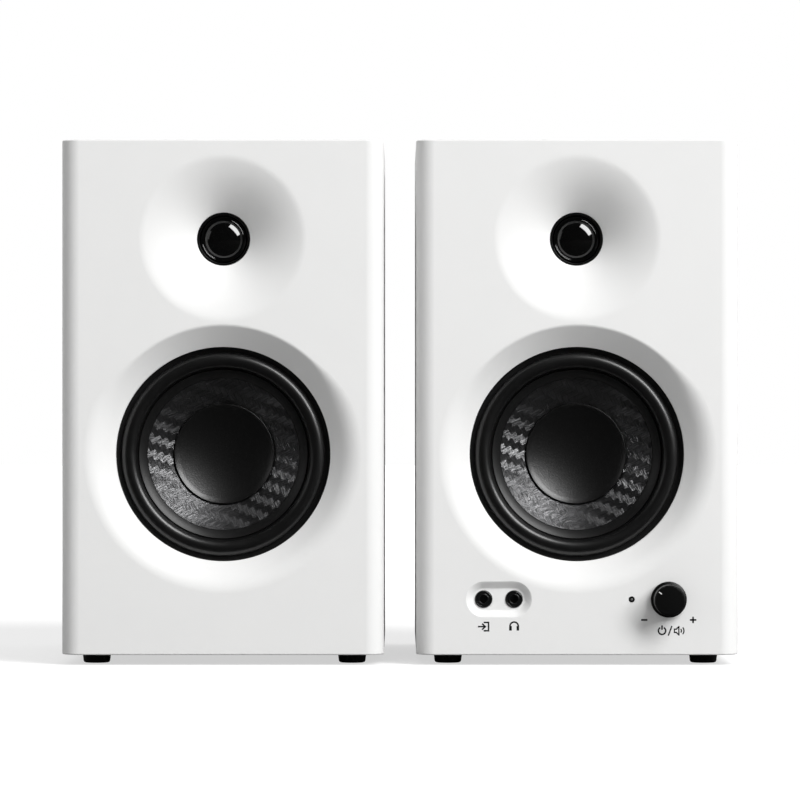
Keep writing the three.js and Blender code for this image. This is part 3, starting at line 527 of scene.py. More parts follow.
def addBox(shape, x, y, z, width, length, height, tilt=0, bevel=0):
    # tilt turns it clockwise, seen from the front, in degrees
    at = Matrix.Translation((x, y, z)) @ Matrix.Rotation(math.radians(tilt), 4, "Y")
    made = bmesh.ops.create_cube(shape, size=1, matrix=at @ Matrix.Diagonal((width, length, height, 1)))
    if bevel:
        edges = list({e for v in made["verts"] for e in v.link_edges})
        roundEdges(shape, edges, bevel)
    return shape


def roundEdges(shape, edges, width, segments=3):
    bmesh.ops.bevel(
        shape, geom=edges, offset=width, affect="EDGES", segments=segments, profile=0.5, material=-1
    )


def carve(piece, cutters):
    tools = []
    for number, shape in enumerate(cutters):
        mesh = bpy.data.meshes.new(f"cutter_{number}")
        shape.to_mesh(mesh)
        shape.free()
        tool = bpy.data.objects.new(f"cutter_{number}", mesh)
        scene.collection.objects.link(tool)
        cut = piece.modifiers.new("cut", "BOOLEAN")
        cut.operation = "DIFFERENCE"
        cut.solver = "EXACT"
        cut.object = tool
        tools.append(tool)
    graph = bpy.context.evaluated_depsgraph_get()
    carved = bpy.data.meshes.new_from_object(piece.evaluated_get(graph), depsgraph=graph)
    piece.modifiers.clear()
    piece.data = carved
    for tool in tools:
        bpy.data.objects.remove(tool)
    carved.shade_smooth()
    carved.set_sharp_from_angle(angle=math.radians(32))
    weigh = piece.modifiers.new("even shading", "WEIGHTED_NORMAL")
    weigh.keep_sharp = True
    weigh.weight = 80


def showBoard(piece, isInside):
    # the faces nobody paints or wraps keep their bare board
    piece.data.materials.append(rawBoard)
    for face in piece.data.polygons:
        if isInside(face):
            face.material_index = 1


def soften(node, width, material, angle=40, segments=3):
    # a carried-over frame node: its edges are rounded and its flat faces shade flat
    piece = frame["nodes"][node]
    piece.data.materials.clear()
    piece.data.materials.append(material)
    piece.data.shade_smooth()
    weld = piece.modifiers.new("weld", "WELD")
    weld.merge_threshold = 2e-6
    bevel = piece.modifiers.new("edges", "BEVEL")
    bevel.width = width
    bevel.segments = segments
    bevel.limit_method = "ANGLE"
    bevel.angle_limit = math.radians(angle)
    bevel.loop_slide = False
    weigh = piece.modifiers.new("even shading", "WEIGHTED_NORMAL")
    weigh.weight = 80


# sizes in the pieces' dictionaries are in millimetres: radii from each axis, depths behind the baffles' face
cutFrom, cutTo = -1, 19  # cutters start before the baffle's face and end behind its back
leastCut = 0.015  # so that no cutter's face lies in the baffle's
waveguide = {"radius": 35.3, "depth": 13, "throat": 11.64, "lip": 15, "seat": 20.3, "soft": 1.4, "straight": 0.42}
dish = {
    "radius": 56,
    "depth": 8,
    "opening": 46.7,
    "lip": 10.7,
    "seat": 52.3,
    "crisp": 0.5,  # how far its edge is rounded above the woofer
    "soft": 4.2,  # and how far everywhere else
    "meltFrom": 38,  # degrees from 12 o'clock
    "meltOver": 34,
}
baffleEdge = {"round": 8, "edge": 0.6}
jackRecess = {"width": 21.9, "height": 9, "slope": 3.3, "depth": 2.5, "roundness": 0.35}
controlHoles = {"aux_jack": 3.85, "headphone_jack": 3.85, "status_led": 1.35, "volume_shaft": 4.5}
pockets = {
    "depth": 13,  # of their middle
    "deep": 15,
    "jacks": (28, 15),
    "knobDeep": 18,
    "knob": 17,
    "beforeLight": 3.5,
    "pastKnob": 8.5,
}


def eased(share):
    # starts and stops gently
    share = min(max(share, 0), 1)
    return share * share * (3 - 2 * share)


def softened(depthAt, radius, reach):
    samples = 17
    total = sum(depthAt(radius + reach * (2 * i / (samples - 1) - 1)) for i in range(samples))
    return total / samples


def guideDepth(radius):
    w = waveguide
    share = max((w["radius"] - radius) / (w["radius"] - w["throat"]), 0)
    return w["depth"] * (w["straight"] * share + (1 - w["straight"]) * share * share)


def waveguideCutter(centre):
    w = waveguide
    outer = w["radius"] + w["soft"]
    profile = [(0, cutFrom), (outer, cutFrom)]
    steps = 26
    for i in range(steps + 1):
        radius = outer + (w["throat"] - outer) * (i / steps) ** 1.25
        reach = min(w["soft"], (radius - w["throat"]) * 0.6 + 0.05)
        profile.append((radius, max(leastCut, softened(guideDepth, radius, reach))))
    profile += [(w["throat"], w["lip"]), (w["seat"], w["lip"]), (w["seat"], cutTo), (0, cutTo)]
    return turn(profile, centre, 128)


def dishWall(radius):
    share = (dish["radius"] - radius) / (dish["radius"] - dish["opening"])
    return dish["depth"] * min(max(share, 0), 1.3)


def dishCutter(centre):
    # its outer edge is crisp above the woofer and melts into the baffle everywhere else
    d = dish
    far, near, steps = 80, 50, 22
    profile = [(0, cutFrom), (far, cutFrom)]
    profile += [(far - (far - near) * i / steps, 0) for i in range(steps + 1)]
    profile += [(d["opening"], d["lip"]), (d["seat"], d["lip"]), (d["seat"], cutTo), (0, cutTo)]
    shape = turn(profile, centre, 160)
    for v in shape.verts:
        x, z = v.co.x - centre[0], v.co.z - centre[1]
        radius = math.hypot(x, z) / mm
        depth = depthOf(v.co.y)
        if radius < near - 0.1 or depth > 0.01:
            continue
        fromTop = abs(math.degrees(math.atan2(x, z)))
        melt = eased((fromTop - d["meltFrom"]) / d["meltOver"])
        reach = d["crisp"] + (d["soft"] - d["crisp"]) * melt
        outer = d["radius"] + reach
        onFace = depth > cutFrom / 2
        share = (far - radius) / (far - near) if onFace else 0
        newRadius = outer + (d["opening"] - outer) * share
        scale = newRadius / radius
        v.co.x, v.co.z = centre[0] + x * scale, centre[1] + z * scale
        if onFace:
            reach = min(reach, newRadius - d["opening"] + 0.1)
            v.co.y = frontY + max(leastCut, softened(dishWall, newRadius, reach)) * mm
    return shape


def recessCutter(x, z):
    # an oval with sloping sides, made of rings bridged one to the next
    r = jackRecess
    shape = bmesh.new()
    half = (r["width"] - r["height"]) / 2 * mm
    sections = [(cutFrom, r["slope"] + 0.5)]
    steps = 6
    for i in range(steps + 1):
        share = i / steps
        fall = eased(share) * r["roundness"] + share * (1 - r["roundness"])
        sections.append((max(r["depth"] * fall, 0.01), r["slope"] * (1 - share)))
    rings = []
    for depth, grow in sections:
        radius = (r["height"] / 2 + grow) * mm
        ring = bmesh.ops.create_circle(shape, segments=48, radius=radius)["verts"]
        for v in ring:
            v.co = Vector((x + v.co.x + math.copysign(half, v.co.x), frontY + depth * mm, z + v.co.y))
        loop = {e for v in ring for e in v.link_edges if all(end in ring for end in e.verts)}
        if rings:
            bmesh.ops.bridge_loops(shape, edges=list(rings[-1] | loop))
        rings.append(loop)
    for loop in (rings[0], rings[-1]):
        bmesh.ops.contextual_create(shape, geom=list(loop))
    bmesh.ops.recalc_face_normals(shape, faces=shape.faces)
    return shape


def controlCutters():
    left, right = centreOf("aux_jack"), centreOf("headphone_jack")
    led, knob = centreOf("status_led"), centreOf("volume_shaft")
    middle = (left[0] + right[0]) / 2
    cutters = [recessCutter(middle, left[1])]
    for node, radius in controlHoles.items():
        cutters.append(turn([(0, cutFrom), (radius, cutFrom), (radius, cutTo), (0, cutTo)], centreOf(node), 48))
    p = pockets
    room = bmesh.new()
    y = frontY + p["depth"] * mm
    addBox(room, middle, y, left[1], p["jacks"][0] * mm, p["deep"] * mm, p["jacks"][1] * mm)
    start, end = led[0] - p["beforeLight"] * mm, knob[0] + p["pastKnob"] * mm
    addBox(room, (start + end) / 2, y, knob[1], end - start, p["knobDeep"] * mm, p["knob"] * mm)
    return cutters + [room]


def makeBaffle(side):
    node = f"{side}_front_baffle"
    low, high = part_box(node)
    middle, size = (low + high) / 2, high - low
    shape = bmesh.new()
    bmesh.ops.create_cube(shape, size=1, matrix=Matrix.Translation(middle) @ Matrix.Diagonal((*size, 1)))
    upright = [
        e
        for e in shape.edges
        if abs(e.verts[0].co.z - e.verts[1].co.z) > size.z / 2 and e.verts[0].co.y < middle.y
    ]
    roundEdges(shape, upright, baffleEdge["round"] * mm, 14)
    rims = [
        e
        for e in shape.edges
        if abs(e.verts[0].co.z - e.verts[1].co.z) < 1e-6 and min(v.co.y for v in e.verts) < high.y - 1e-5
    ]
    roundEdges(shape, rims, baffleEdge["edge"] * mm)
    piece = addPiece(f"{side}_baffle", shape, white, replaced=[node])
    cutters = [
        waveguideCutter(centreOf(f"{side}_tweeter_dome")),
        dishCutter(centreOf(f"{side}_woofer_cone")),
    ]
    if side == "active":
        cutters += controlCutters()
    carve(piece, cutters)
    showBoard(piece, lambda face: face.center.y > high.y - 1e-5)


for side in speakers:
    makeBaffle(side)
print("baffles cut")


surroundSize = {
    "flat": 11,  # depth of its flange
    "centre": 40.8,
    "roll": 3.6,
    "fullness": 0.92,  # less makes the roll squarer
    "skin": 0.8,
    "lipEnd": 33.1,
    "outer": 50.8,
    "step": 46.2,
}
coneSize = {
    "edge": 37.2,
    "front": 12.1,
    "slope": math.tan(math.radians(30)),
    "skin": 1.1,
    "inner": 12.6,  # of the coil's former
    "outer": 13.2,
}
capSize = {"radius": 22, "hollow": 4.8, "skin": 0.7, "proud": 0.3}


def coneDepth(radius):
    return coneSize["front"] + (coneSize["edge"] - radius) * coneSize["slope"]


def makeSurround(side, centre):
    s = surroundSize
    foot = s["centre"] - s["roll"]
    face = [(s["outer"], s["flat"]), (s["step"], s["flat"]), (s["centre"] + s["roll"] + 0.9, s["flat"])]
    steps = 22
    for i in range(steps + 1):
        angle = math.pi * i / steps
        rise = s["roll"] * math.sin(angle) ** s["fullness"]
        face.append((s["centre"] + s["roll"] * math.cos(angle), s["flat"] - rise + 0.25 * i / steps))
    face += [
        (foot - 0.18, s["flat"] + 0.55),
        (foot - 0.5, coneDepth(foot - 0.5) - 1.25),
        (foot - 1.0, coneDepth(foot - 1.0) - 1.3),
        (s["lipEnd"] + 0.3, coneDepth(s["lipEnd"] + 0.3) - 1.15),
        (s["lipEnd"], coneDepth(s["lipEnd"]) - 0.95),
    ]
    back = [(s["lipEnd"], coneDepth(s["lipEnd"]) - 0.3), (foot, coneDepth(foot) - 0.3)]
    for i in range(9):
        angle = math.pi * (1 - i / 8)
        thin = s["roll"] - s["skin"]
        back.append((s["centre"] + thin * math.cos(angle), s["flat"] + 0.5 - thin * math.sin(angle)))
    back += [(s["outer"], s["flat"] + s["skin"])]
    shape = turn(face + back, centre, 160)
    node = f"{side}_woofer_surround"
    piece = addPiece(f"{side}_surround", shape, rubber, None, [node], 60)
    piece.data.materials.append(lipMatt)
    for part in piece.data.polygons:
        radius = math.hypot(part.center.x - centre[0], part.center.z - centre[1]) / mm
        if radius < foot - 0.45:
            part.material_index = 1
    start = (centre[0] + (s["centre"] + s["roll"]) * mm, frontY, centre[1])
    end = (centre[0] + foot * mm, frontY, centre[1])
    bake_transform(piece, "cabinets", f"{side}_woofer_diaphragm", start=start, end=end)
    weights = piece.data.attributes["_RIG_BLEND"].data
    for v, weight in zip(piece.data.vertices, weights):
        radius = math.hypot(v.co.x - centre[0], v.co.z - centre[1]) / mm
        weight.value = eased((s["centre"] + s["roll"] - radius) / (2 * s["roll"]))


def makeCone(side, centre):
    c = coneSize
    edge, skin, inner, outer = c["edge"], c["skin"], c["inner"], c["outer"]
    node = f"{side}_woofer_cone"
    tail = depthOf(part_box(node)[1].y)
    steps = 14
    radii = [edge - (edge - inner) * i / steps for i in range(steps + 1)]
    profile = [(radius, coneDepth(radius)) for radius in radii]
    profile += [(inner, tail), (outer, tail), (outer, coneDepth(outer) + skin), (edge, coneDepth(edge) + skin)]
    shape = turn(profile, centre, 144)
    addPiece(f"{side}_cone", shape, carbon, f"{side}_woofer_diaphragm", [node], 50)


def makeCap(side, centre):
    # dished inwards: its middle is its deepest place
    c = capSize
    radius, skin, steps = c["radius"], c["skin"], 16
    rim = coneDepth(radius) - c["proud"] - skin
    bowl = [(radius * i / steps, rim + c["hollow"] * (1 - (i / steps) ** 2)) for i in range(steps)]
    profile = bowl + [(radius - 0.35, rim - 0.12), (radius - 0.1, rim + 0.02), (radius, rim + 0.3)]
    profile += [(radius, rim + skin)] + [(r, d + skin) for r, d in reversed(bowl)]
    node = f"{side}_woofer_dust_cap"
    shape = turn(profile, centre, 128)
    addPiece(f"{side}_cap", shape, capSkin, f"{side}_woofer_diaphragm", [node], 60)


for side in speakers:
    wooferCentre = centreOf(f"{side}_woofer_cone")
    makeSurround(side, wooferCentre)
    makeCone(side, wooferCentre)
    makeCap(side, wooferCentre)
    soften(f"{side}_woofer_basket", 0.0003, basketBlack)
    soften(f"{side}_woofer_magnet", 0.0008, ferrite)
    soften(f"{side}_woofer_yoke", 0.0006, zinc)
    soften(f"{side}_woofer_spider", 0.0001, cloth, 60, 1)
print("woofers made")


tweeterSize = {"collar": 11.34, "bore": 10.59, "front": 13.3, "seat": 15.3, "plate": 20, "back": 18, "rim": 15}
domeSize = {"radius": 9, "height": 3.15, "skin": 0.5, "former": 5.5}


def makeRing(side, centre):
    t = tweeterSize
    profile = filleted(
        [
            (t["bore"], t["front"], 0.2),
            (t["collar"], t["front"], 0.15),
            (t["collar"], t["seat"]),
            (t["plate"], t["seat"]),
            (t["plate"], t["back"]),
            (t["bore"], t["back"]),
        ]
    )
    node = f"{side}_tweeter_plate"
    shape = turn(profile, centre, 96)
    addPiece(f"{side}_tweeter_ring", shape, satinBlack, replaced=[node])


def makeDome(side, centre):
    # a shallow cap of a ball, a small roll round it and the coil's former behind
    d = domeSize
    radius, skin, rim = d["radius"], d["skin"], tweeterSize["rim"]
    ball = (radius**2 + d["height"] ** 2) / (2 * d["height"])
    inner = radius - skin
    end = rim + d["former"]

    def arch(r):
        return rim - math.sqrt(ball**2 - r**2) + ball - d["height"]

    profile = [(radius * i / 18, arch(radius * i / 18)) for i in range(18)]
    profile += [(8.93, rim - 0.06), (9.05, rim - 0.06), (9.2, rim - 0.3), (9.45, rim - 0.55), (9.75, rim - 0.55)]
    profile += [(10.0, rim - 0.32), (10.3, rim), (10.3, rim + skin), (radius, rim + skin), (radius, end)]
    profile += [(inner, end), (inner, rim + skin)]
    profile += [(inner * i / 8, arch(inner * i / 8) + skin) for i in range(7, -1, -1)]
    node = f"{side}_tweeter_dome"
    shape = turn(profile, centre, 96)
    addPiece(f"{side}_dome", shape, silk, f"{side}_tweeter_diaphragm", [node], 60)


for side in speakers:
    tweeterCentre = centreOf(f"{side}_tweeter_dome")
    makeRing(side, tweeterCentre)
    makeDome(side, tweeterCentre)
    soften(f"{side}_tweeter_magnet", 0.0006, zinc)
print("tweeters made")


footSize = {"radius": 6.25, "taper": 0.5, "edge": 1.1, "rim": 0.3}
portSize = {
    "bore": 17,
    "wall": 2,
    "flare": 9.5,
    "flareDepth": 12,
    "collar": 27.5,
    "collarDepths": (163, 167, 176.3),  # where it starts to widen, is widest, and meets its flange
    "flange": 31.5,
}
sleeveSize = {"wall": 9, "corner": 1.5, "rim": 0.6}


def makeFoot(node):
    low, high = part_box(node)
    x, y = (low.x + high.x) / 2, (low.y + high.y) / 2
    radius, height = footSize["radius"], (high.z - low.z) / mm
    bottom = (radius - footSize["taper"], 0, footSize["edge"])
    corners = filleted([(0, 0), bottom, (radius, height, footSize["rim"]), (0, height)], 5)
    shape = bmesh.new()
    points = [shape.verts.new((x + r * mm, y, low.z + d * mm)) for r, d in corners]
    edges = [shape.edges.new(pair) for pair in zip(points, points[1:])]
    bmesh.ops.spin(
        shape,
        geom=points + edges,
        cent=(x, y, 0),
        axis=(0, 0, 1),
        angle=math.tau,
        steps=48,
        use_merge=True,
    )
    bmesh.ops.remove_doubles(shape, verts=shape.verts, dist=1e-6)
    bmesh.ops.recalc_face_normals(shape, faces=shape.faces)
    addPiece(f"{node}_pad", shape, footRubber, replaced=[node])


def makePort(side):
    node = f"{side}_port_tube"
    low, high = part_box(node)
    start, end = depthOf(low.y), depthOf(high.y)
    p = portSize
    bore, tube, collar, flange = p["bore"], p["bore"] + p["wall"], p["collar"], p["flange"]
    narrow, wide, seat = p["collarDepths"]
    profile = [(bore, start), (tube, start), (tube, narrow), (collar, wide), (collar, seat)]
    profile += filleted([(collar, seat), (flange, seat), (flange, end, 0.9), (collar, end)])[1:-1]
    steps = 16
    for i in range(steps, -1, -1):
        angle = i / steps * math.pi / 2
        radius = bore + p["flare"] * (1 - math.cos(angle))
        profile.append((radius, end - p["flareDepth"] * (1 - math.sin(angle))))
    shape = turn(profile, centreOf(node), 112)
    addPiece(f"{side}_port", shape, satinBlack, replaced=[node], crease=50)


def makeSleeve(side):
    node = f"{side}_cabinet_sleeve"
    low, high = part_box(node)
    middle, size = (low + high) / 2, high - low
    shape = bmesh.new()
    bmesh.ops.create_cube(shape, size=1, matrix=Matrix.Translation(middle) @ Matrix.Diagonal((*size, 1)))
    along = [e for e in shape.edges if abs(e.verts[0].co.y - e.verts[1].co.y) > size.y / 2]
    roundEdges(shape, along, sleeveSize["corner"] * mm, 5)
    rims = [e for e in shape.edges if abs(e.verts[0].co.y - e.verts[1].co.y) < 1e-6]
    roundEdges(shape, rims, sleeveSize["rim"] * mm)
    piece = addPiece(f"{side}_sleeve", shape, vinyl, replaced=[node])
    inside = bmesh.new()
    walls = 2 * sleeveSize["wall"] * mm
    addBox(inside, *middle, size.x - walls, size.y + 0.01, size.z - walls)
    carve(piece, [inside])
    showBoard(piece, lambda face: face.normal.dot(face.center - middle) < 0)


for side in speakers:
    makeSleeve(side)
    soften(f"{side}_rear_panel", 0.0004, vinyl)
    makePort(side)
    for end in ("front", "rear"):
        for hand in ("left", "right"):
            makeFoot(f"{side}_foot_{end}_{hand}")
print("cabinets finished")


knobSize = {
    "back": 7.8,
    "front": 6.6,
    "skirt": 3.4,
    "proud": 11.5,
    "lift": 1.2,
    "chamfer": 0.5,
    "wall": 1.4,
    "hollow": 4.7,
    "hub": 4.7,
    "bore": 3.35,
    "boreEnd": 9.8,
}
pointerSize = {"angle": -52, "reach": 5.25, "width": 0.42, "length": 1.5}
jackSize = {"bore": 1.8, "radius": 3.6, "groove": 0.35, "nose": 6.5, "body": 11, "bodyFrom": 6.9, "contactEnd": 9}
ledSize = {"lens": 0.5, "bore": 0.52, "ring": 1.2, "length": 8}
inkThick = 0.06  # prints are centred on their surface, so half of this stands proud
frontMarks = {
    "knob": 39.4,  # from the cabinet's middle
    "signRow": 19.7,  # heights above the ground
    "symbolRow": 15.0,
    "minus": 28.9,  # from the cabinet's middle
    "plus": 50.06,
    "power": 36.6,
    "slash": 40.1,
    "horn": 43.5,
    "headphoneRow": 17.0,
    "inputRow": 16.8,
}


def makeKnob():
    centre = centreOf("volume_shaft")
    k = knobSize
    lip = k["back"] - k["wall"]
    profile = filleted(
        [
            (0, -k["proud"]),
            (k["front"] - k["chamfer"], -k["proud"], 0.12),
            (k["front"], -k["proud"] + k["chamfer"], 0.15),
            (k["front"] + 0.1, -k["skirt"], 0.5),
            (k["back"], -k["skirt"] + 0.35, 0.3),
            (k["back"], -k["lift"], 0.2),
            (lip, -k["lift"], 0.15),
            (lip, -k["hollow"]),
            (k["hub"], -k["hollow"]),
            (k["hub"], -k["lift"]),
            (k["bore"], -k["lift"]),
            (k["bore"], -k["boreEnd"]),
            (0, -k["boreEnd"]),
        ]
    )
    addPiece("knob", turn(profile, centre, 112), satinBlack, "volume_control", ["volume_knob"])
    p = pointerSize
    pointer = bmesh.new()
    angle = math.radians(p["angle"])
    x, z = centre[0] + math.sin(angle) * p["reach"] * mm, centre[1] + math.cos(angle) * p["reach"] * mm
    y = frontY - k["proud"] * mm
    addBox(pointer, x, y, z, p["width"] * mm, inkThick * mm, p["length"] * mm, p["angle"])
    addPiece("knob_pointer", pointer, inkWhite, "volume_control")
    soften("volume_shaft", 0.0002, zinc)
    soften("volume_encoder", 0.0003, zinc)


def makeJack(node):
    centre = centreOf(node)
    low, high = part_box(node)
    front, back = depthOf(low.y), depthOf(high.y)
    j = jackSize
    bore, radius, groove = j["bore"], j["radius"], front + j["groove"]
    nose = filleted(
        [
            (bore, front, 0.15),
            (2.2, front, 0.1),
            (2.35, groove, 0.1),
            (3.05, groove, 0.1),
            (3.3, front, 0.12),
            (radius, front, 0.25),
            (radius, j["nose"]),
            (bore, j["nose"]),
        ],
        3,
    )
    addPiece(f"{node}_bush", turn(nose, centre, 64), glossBlack, replaced=[node])
    body = bmesh.new()
    y, length = frontY + (j["bodyFrom"] + back) / 2 * mm, (back - j["bodyFrom"]) * mm
    addBox(body, centre[0], y, centre[1], j["body"] * mm, length, j["body"] * mm, bevel=0.0004)
    addPiece(f"{node}_body", body, blackPlastic)
    inner, start = bore - 0.06, front + 1.2
    contact = [(inner, start), (bore, start), (bore, j["contactEnd"]), (inner, j["contactEnd"])]
    addPiece(f"{node}_contact", turn(contact, centre, 48), nickel)


def makeLed():
    centre = centreOf("status_led")
    front = depthOf(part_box("status_led")[0].y)
    s = ledSize
    ring = filleted(
        [
            (s["bore"], front + 0.1),
            (s["bore"] + 0.1, front, 0.05),
            (s["ring"], front, 0.1),
            (s["ring"], s["length"]),
            (s["bore"], s["length"]),
        ]
    )
    addPiece("led_ring", turn(ring, centre, 40), glossBlack, replaced=["status_led"])
    dot = [(0, front + 0.04), (0.3, front + 0.08), (s["lens"], front + 0.2), (s["lens"], 6), (0, 6)]
    addPiece("led_dot", turn(dot, centre, 32), lens)


# marks are given in metres across the cabinet and up from the ground, with sizes in millimetres


def addMark(shape, x, y, z, width, length, tilt=0):
    return addBox(shape, x, y, z, width * mm, inkThick * mm, length * mm, tilt)


def addArc(shape, x, y, z, radius, first, sweep, width, steps=None):
    start, end = radius - width / 2, radius + width / 2
    low, high = depthOf(y) - inkThick / 2, depthOf(y) + inkThick / 2
    profile = [(start, low), (end, low), (end, high), (start, high)]
    return turn(profile, (x, z), steps or max(8, int(sweep / 10)), first, sweep, shape)


def addStroke(shape, x, z, points, width, closed=False):
    ends = points[1:] + (points[:1] if closed else [])
    for (x0, z0), (x1, z1) in zip(points, ends):
        length = math.hypot(x1 - x0, z1 - z0) + width * 0.9
        tilt = math.degrees(math.atan2(x1 - x0, z1 - z0))
        addMark(shape, x + (x0 + x1) / 2 * mm, frontY, z + (z0 + z1) / 2 * mm, width, length, tilt)


def makeFrontMarks():
    m = frontMarks
    middle = centreOf("volume_shaft")[0] - m["knob"] * mm

    def along(name):
        return middle + m[name] * mm

    signs, row = m["signRow"] * mm, m["symbolRow"] * mm
    marks = bmesh.new()
    addMark(marks, along("minus"), frontY, signs, 0.74, 2.7, 90)
    addMark(marks, along("plus"), frontY, signs, 0.72, 2.8, 90)
    addMark(marks, along("plus"), frontY, signs, 0.72, 2.8)
    addArc(marks, along("power"), frontY, row, 1.58, 30, 300, 0.66)
    addMark(marks, along("power"), frontY, row + 1.4 * mm, 0.66, 1.9)
    addMark(marks, along("slash"), frontY, row, 0.58, 4.5, 20)
    horn = [(-1.5, 0.7), (-0.7, 0.7), (0.4, 1.8), (0.4, -1.8), (-0.7, -0.7), (-1.5, -0.7)]
    addStroke(marks, along("horn"), row, horn, 0.54, closed=True)
    for radius in (1.2, 2.3):
        addArc(marks, along("horn") + 0.3 * mm, frontY, row, radius, 50, 80, 0.56)
    addPiece("volume_marks", marks, inkDark)

    ear, row = centreOf("headphone_jack")[0], m["headphoneRow"] * mm
    marks = bmesh.new()
    addArc(marks, ear, frontY, row, 1.8, -95, 190, 0.68)
    for hand in (-1, 1):
        addMark(marks, ear + hand * 1.6 * mm, frontY, row - 0.9 * mm, 1.1, 2.0)
    addPiece("headphone_mark", marks, inkDark)

    source, row = centreOf("aux_jack")[0] - 0.3 * mm, m["inputRow"] * mm
    marks = bmesh.new()
    addMark(marks, source - 0.6 * mm, frontY, row, 0.64, 3.2, 90)
    addStroke(marks, source, row, [(-0.2, 1.1), (1.0, 0), (-0.2, -1.1)], 0.64)
    addStroke(marks, source, row, [(0.6, 1.8), (2.4, 1.8), (2.4, -1.8), (0.6, -1.8)], 0.64)
    addPiece("input_mark", marks, inkDark)


makeKnob()
makeJack("aux_jack")
makeJack("headphone_jack")
makeLed()
makeFrontMarks()
print("front controls made")


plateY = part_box("control_plate")[1].y
screwSize = {"socket": 0.42, "height": 0.55}  # shares of the head's radius
toneKnobSize = {"radius": 6, "tip": 5.6, "foot": 3, "gap": 0.8, "ridges": 24, "groove": 0.045}
rearMarks = {
    "tickReach": 8.6,
    "tickStep": 30,
    "signAcross": 6.4,
    "signDown": 8.8,
    "arc": 8.4,
    "frame": (30, 16.4),
    "line": 0.3,
}


def hexagonal(across):
    # how far a hexagon's side lies from its middle in this direction, where its corners lie at 1
    angle = math.atan2(across.y, across.x) % (math.pi / 3) - math.pi / 6
    return math.cos(math.pi / 6) / math.cos(angle)


def makeScrews(name, spots, y, radius):
    # button heads with a hexagonal socket
    shape = bmesh.new()
    base = depthOf(y)
    socket, height = radius * screwSize["socket"], radius * screwSize["height"]
    profile = [
        (0, base + height * 0.35),
        (socket * 0.96, base + height * 0.35),
        (socket, base + height * 0.92),
        (socket * 1.12, base + height),
        (radius * 0.72, base + height * 0.86),
        (radius * 0.93, base + height * 0.5),
        (radius, base + 0.02),
        (radius, base - 0.1),
        (0, base - 0.1),
    ]
    for x, z in spots:
        kept = set(shape.verts)
        turn(profile, (x, z), 24, shape=shape)
        for v in set(shape.verts) - kept:
            across = Vector((v.co.x - x, v.co.z - z))
            if 0.1 * socket * mm < across.length < 1.05 * socket * mm and v.co.y > y + 0.0001:
                across *= hexagonal(across)
                v.co.x, v.co.z = x + across.x, z + across.y
    addPiece(name, shape, screwSteel, crease=30)


def makeToneKnob(node, body):
    centre = centreOf(node)
    low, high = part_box(node)
    k = toneKnobSize
    inner, start, end = depthOf(low.y), depthOf(plateY) + k["gap"], depthOf(high.y)
    profile = filleted(
        [
            (0, inner),
            (k["foot"], inner, 0.3),
            (k["foot"], start),
            (k["radius"], start, 0.3),
            (k["tip"], end, 0.5),
            (0, end),
        ]
    )
    shape = turn(profile, centre, 144)
    for v in shape.verts:
        across = Vector((v.co.x - centre[0], v.co.z - centre[1]))
        if across.length > 5.0 * mm:
            ridge = 0.5 + 0.5 * math.cos(k["ridges"] * math.atan2(across.y, across.x))
            across *= 1 - k["groove"] * (1 - ridge**2)
            v.co.x, v.co.z = centre[0] + across.x, centre[1] + across.y
    addPiece(f"{body}_cap", shape, satinBlack, body, [node])
    pointer = bmesh.new()
    addMark(pointer, centre[0], high.y, centre[1] + 3.4 * mm, 0.7, 3.2)
    addPiece(f"{body}_pointer", pointer, inkWhite, body)


def makeRearMarks():
    m = rearMarks
    marks = bmesh.new()
    for node in ("treble_knob", "bass_knob"):
        x, z = centreOf(node)
        for step in range(-5, 6):
            turned = step * m["tickStep"]
            angle = math.radians(turned)
            reach = (m["tickReach"] if step else m["tickReach"] + 0.4) * mm
            length = 1.0 if step % 5 else 1.7
            addMark(marks, x + math.sin(angle) * reach, plateY, z + math.cos(angle) * reach, 0.32, length, turned)
        for sign in (-1, 1):  # the plus is at the clockwise end for someone behind the cabinet
            across, up = x + sign * m["signAcross"] * mm, z - m["signDown"] * mm
            addMark(marks, across, plateY, up, 1.8, 0.35)
            if sign < 0:
                addMark(marks, across, plateY, up, 0.35, 1.8)
    for node in ("trs_jack_left", "trs_jack_right"):
        x, z = centreOf(node)
        addArc(marks, x, plateY, z, m["arc"], 215, 290, m["line"])
    x, z = centreOf("rca_jack_pair")
    width, height = m["frame"]
    for end in (-1, 1):
        addMark(marks, x, plateY, z + end * height / 2 * mm, width, m["line"])
    for end in (-1, 1):
        addMark(marks, x + end * width / 2 * mm, plateY, z, m["line"], height)
    addPiece("rear_marks", marks, inkWhite)


def makeSpeakerSocket(node):
    centre = centreOf(node)
    low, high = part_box(node)
    back, plate = depthOf(high.y), depthOf(plateY)
    inner = depthOf(low.y)
    barrel = filleted(
        [
            (3.3, back + 0.25, 0.25),
            (4.6, back + 0.25, 0.25),
            (4.6, plate - 2.3),
            (7, plate - 2.3),
            (7, inner),
            (3.3, inner),
        ]
    )
    addPiece(f"{node}_barrel", turn(barrel, centre, 64), glossBlack, replaced=[node])
    lining = filleted([(3.22, back - 1), (3.3, back - 1), (3.3, plate - 12), (3.22, plate - 12)])
    addPiece(f"{node}_contact", turn(lining, centre, 48), nickel)
    nut = filleted(
        [(4.75, plate + 0.1), (6.5, plate + 0.1, 0.15), (6.5, back - 0.1, 0.3), (4.75, back - 0.1, 0.1)], 3
    )
    shape = turn(nut, centre, 72)
    for v in shape.verts:
        across = Vector((v.co.x - centre[0], v.co.z - centre[1]))
        if across.length > 5.6 * mm:
            across *= 1.09 * hexagonal(across)
            v.co.x, v.co.z = centre[0] + across.x, centre[1] + across.y
    addPiece(f"{node}_nut", shape, nickel, crease=25)


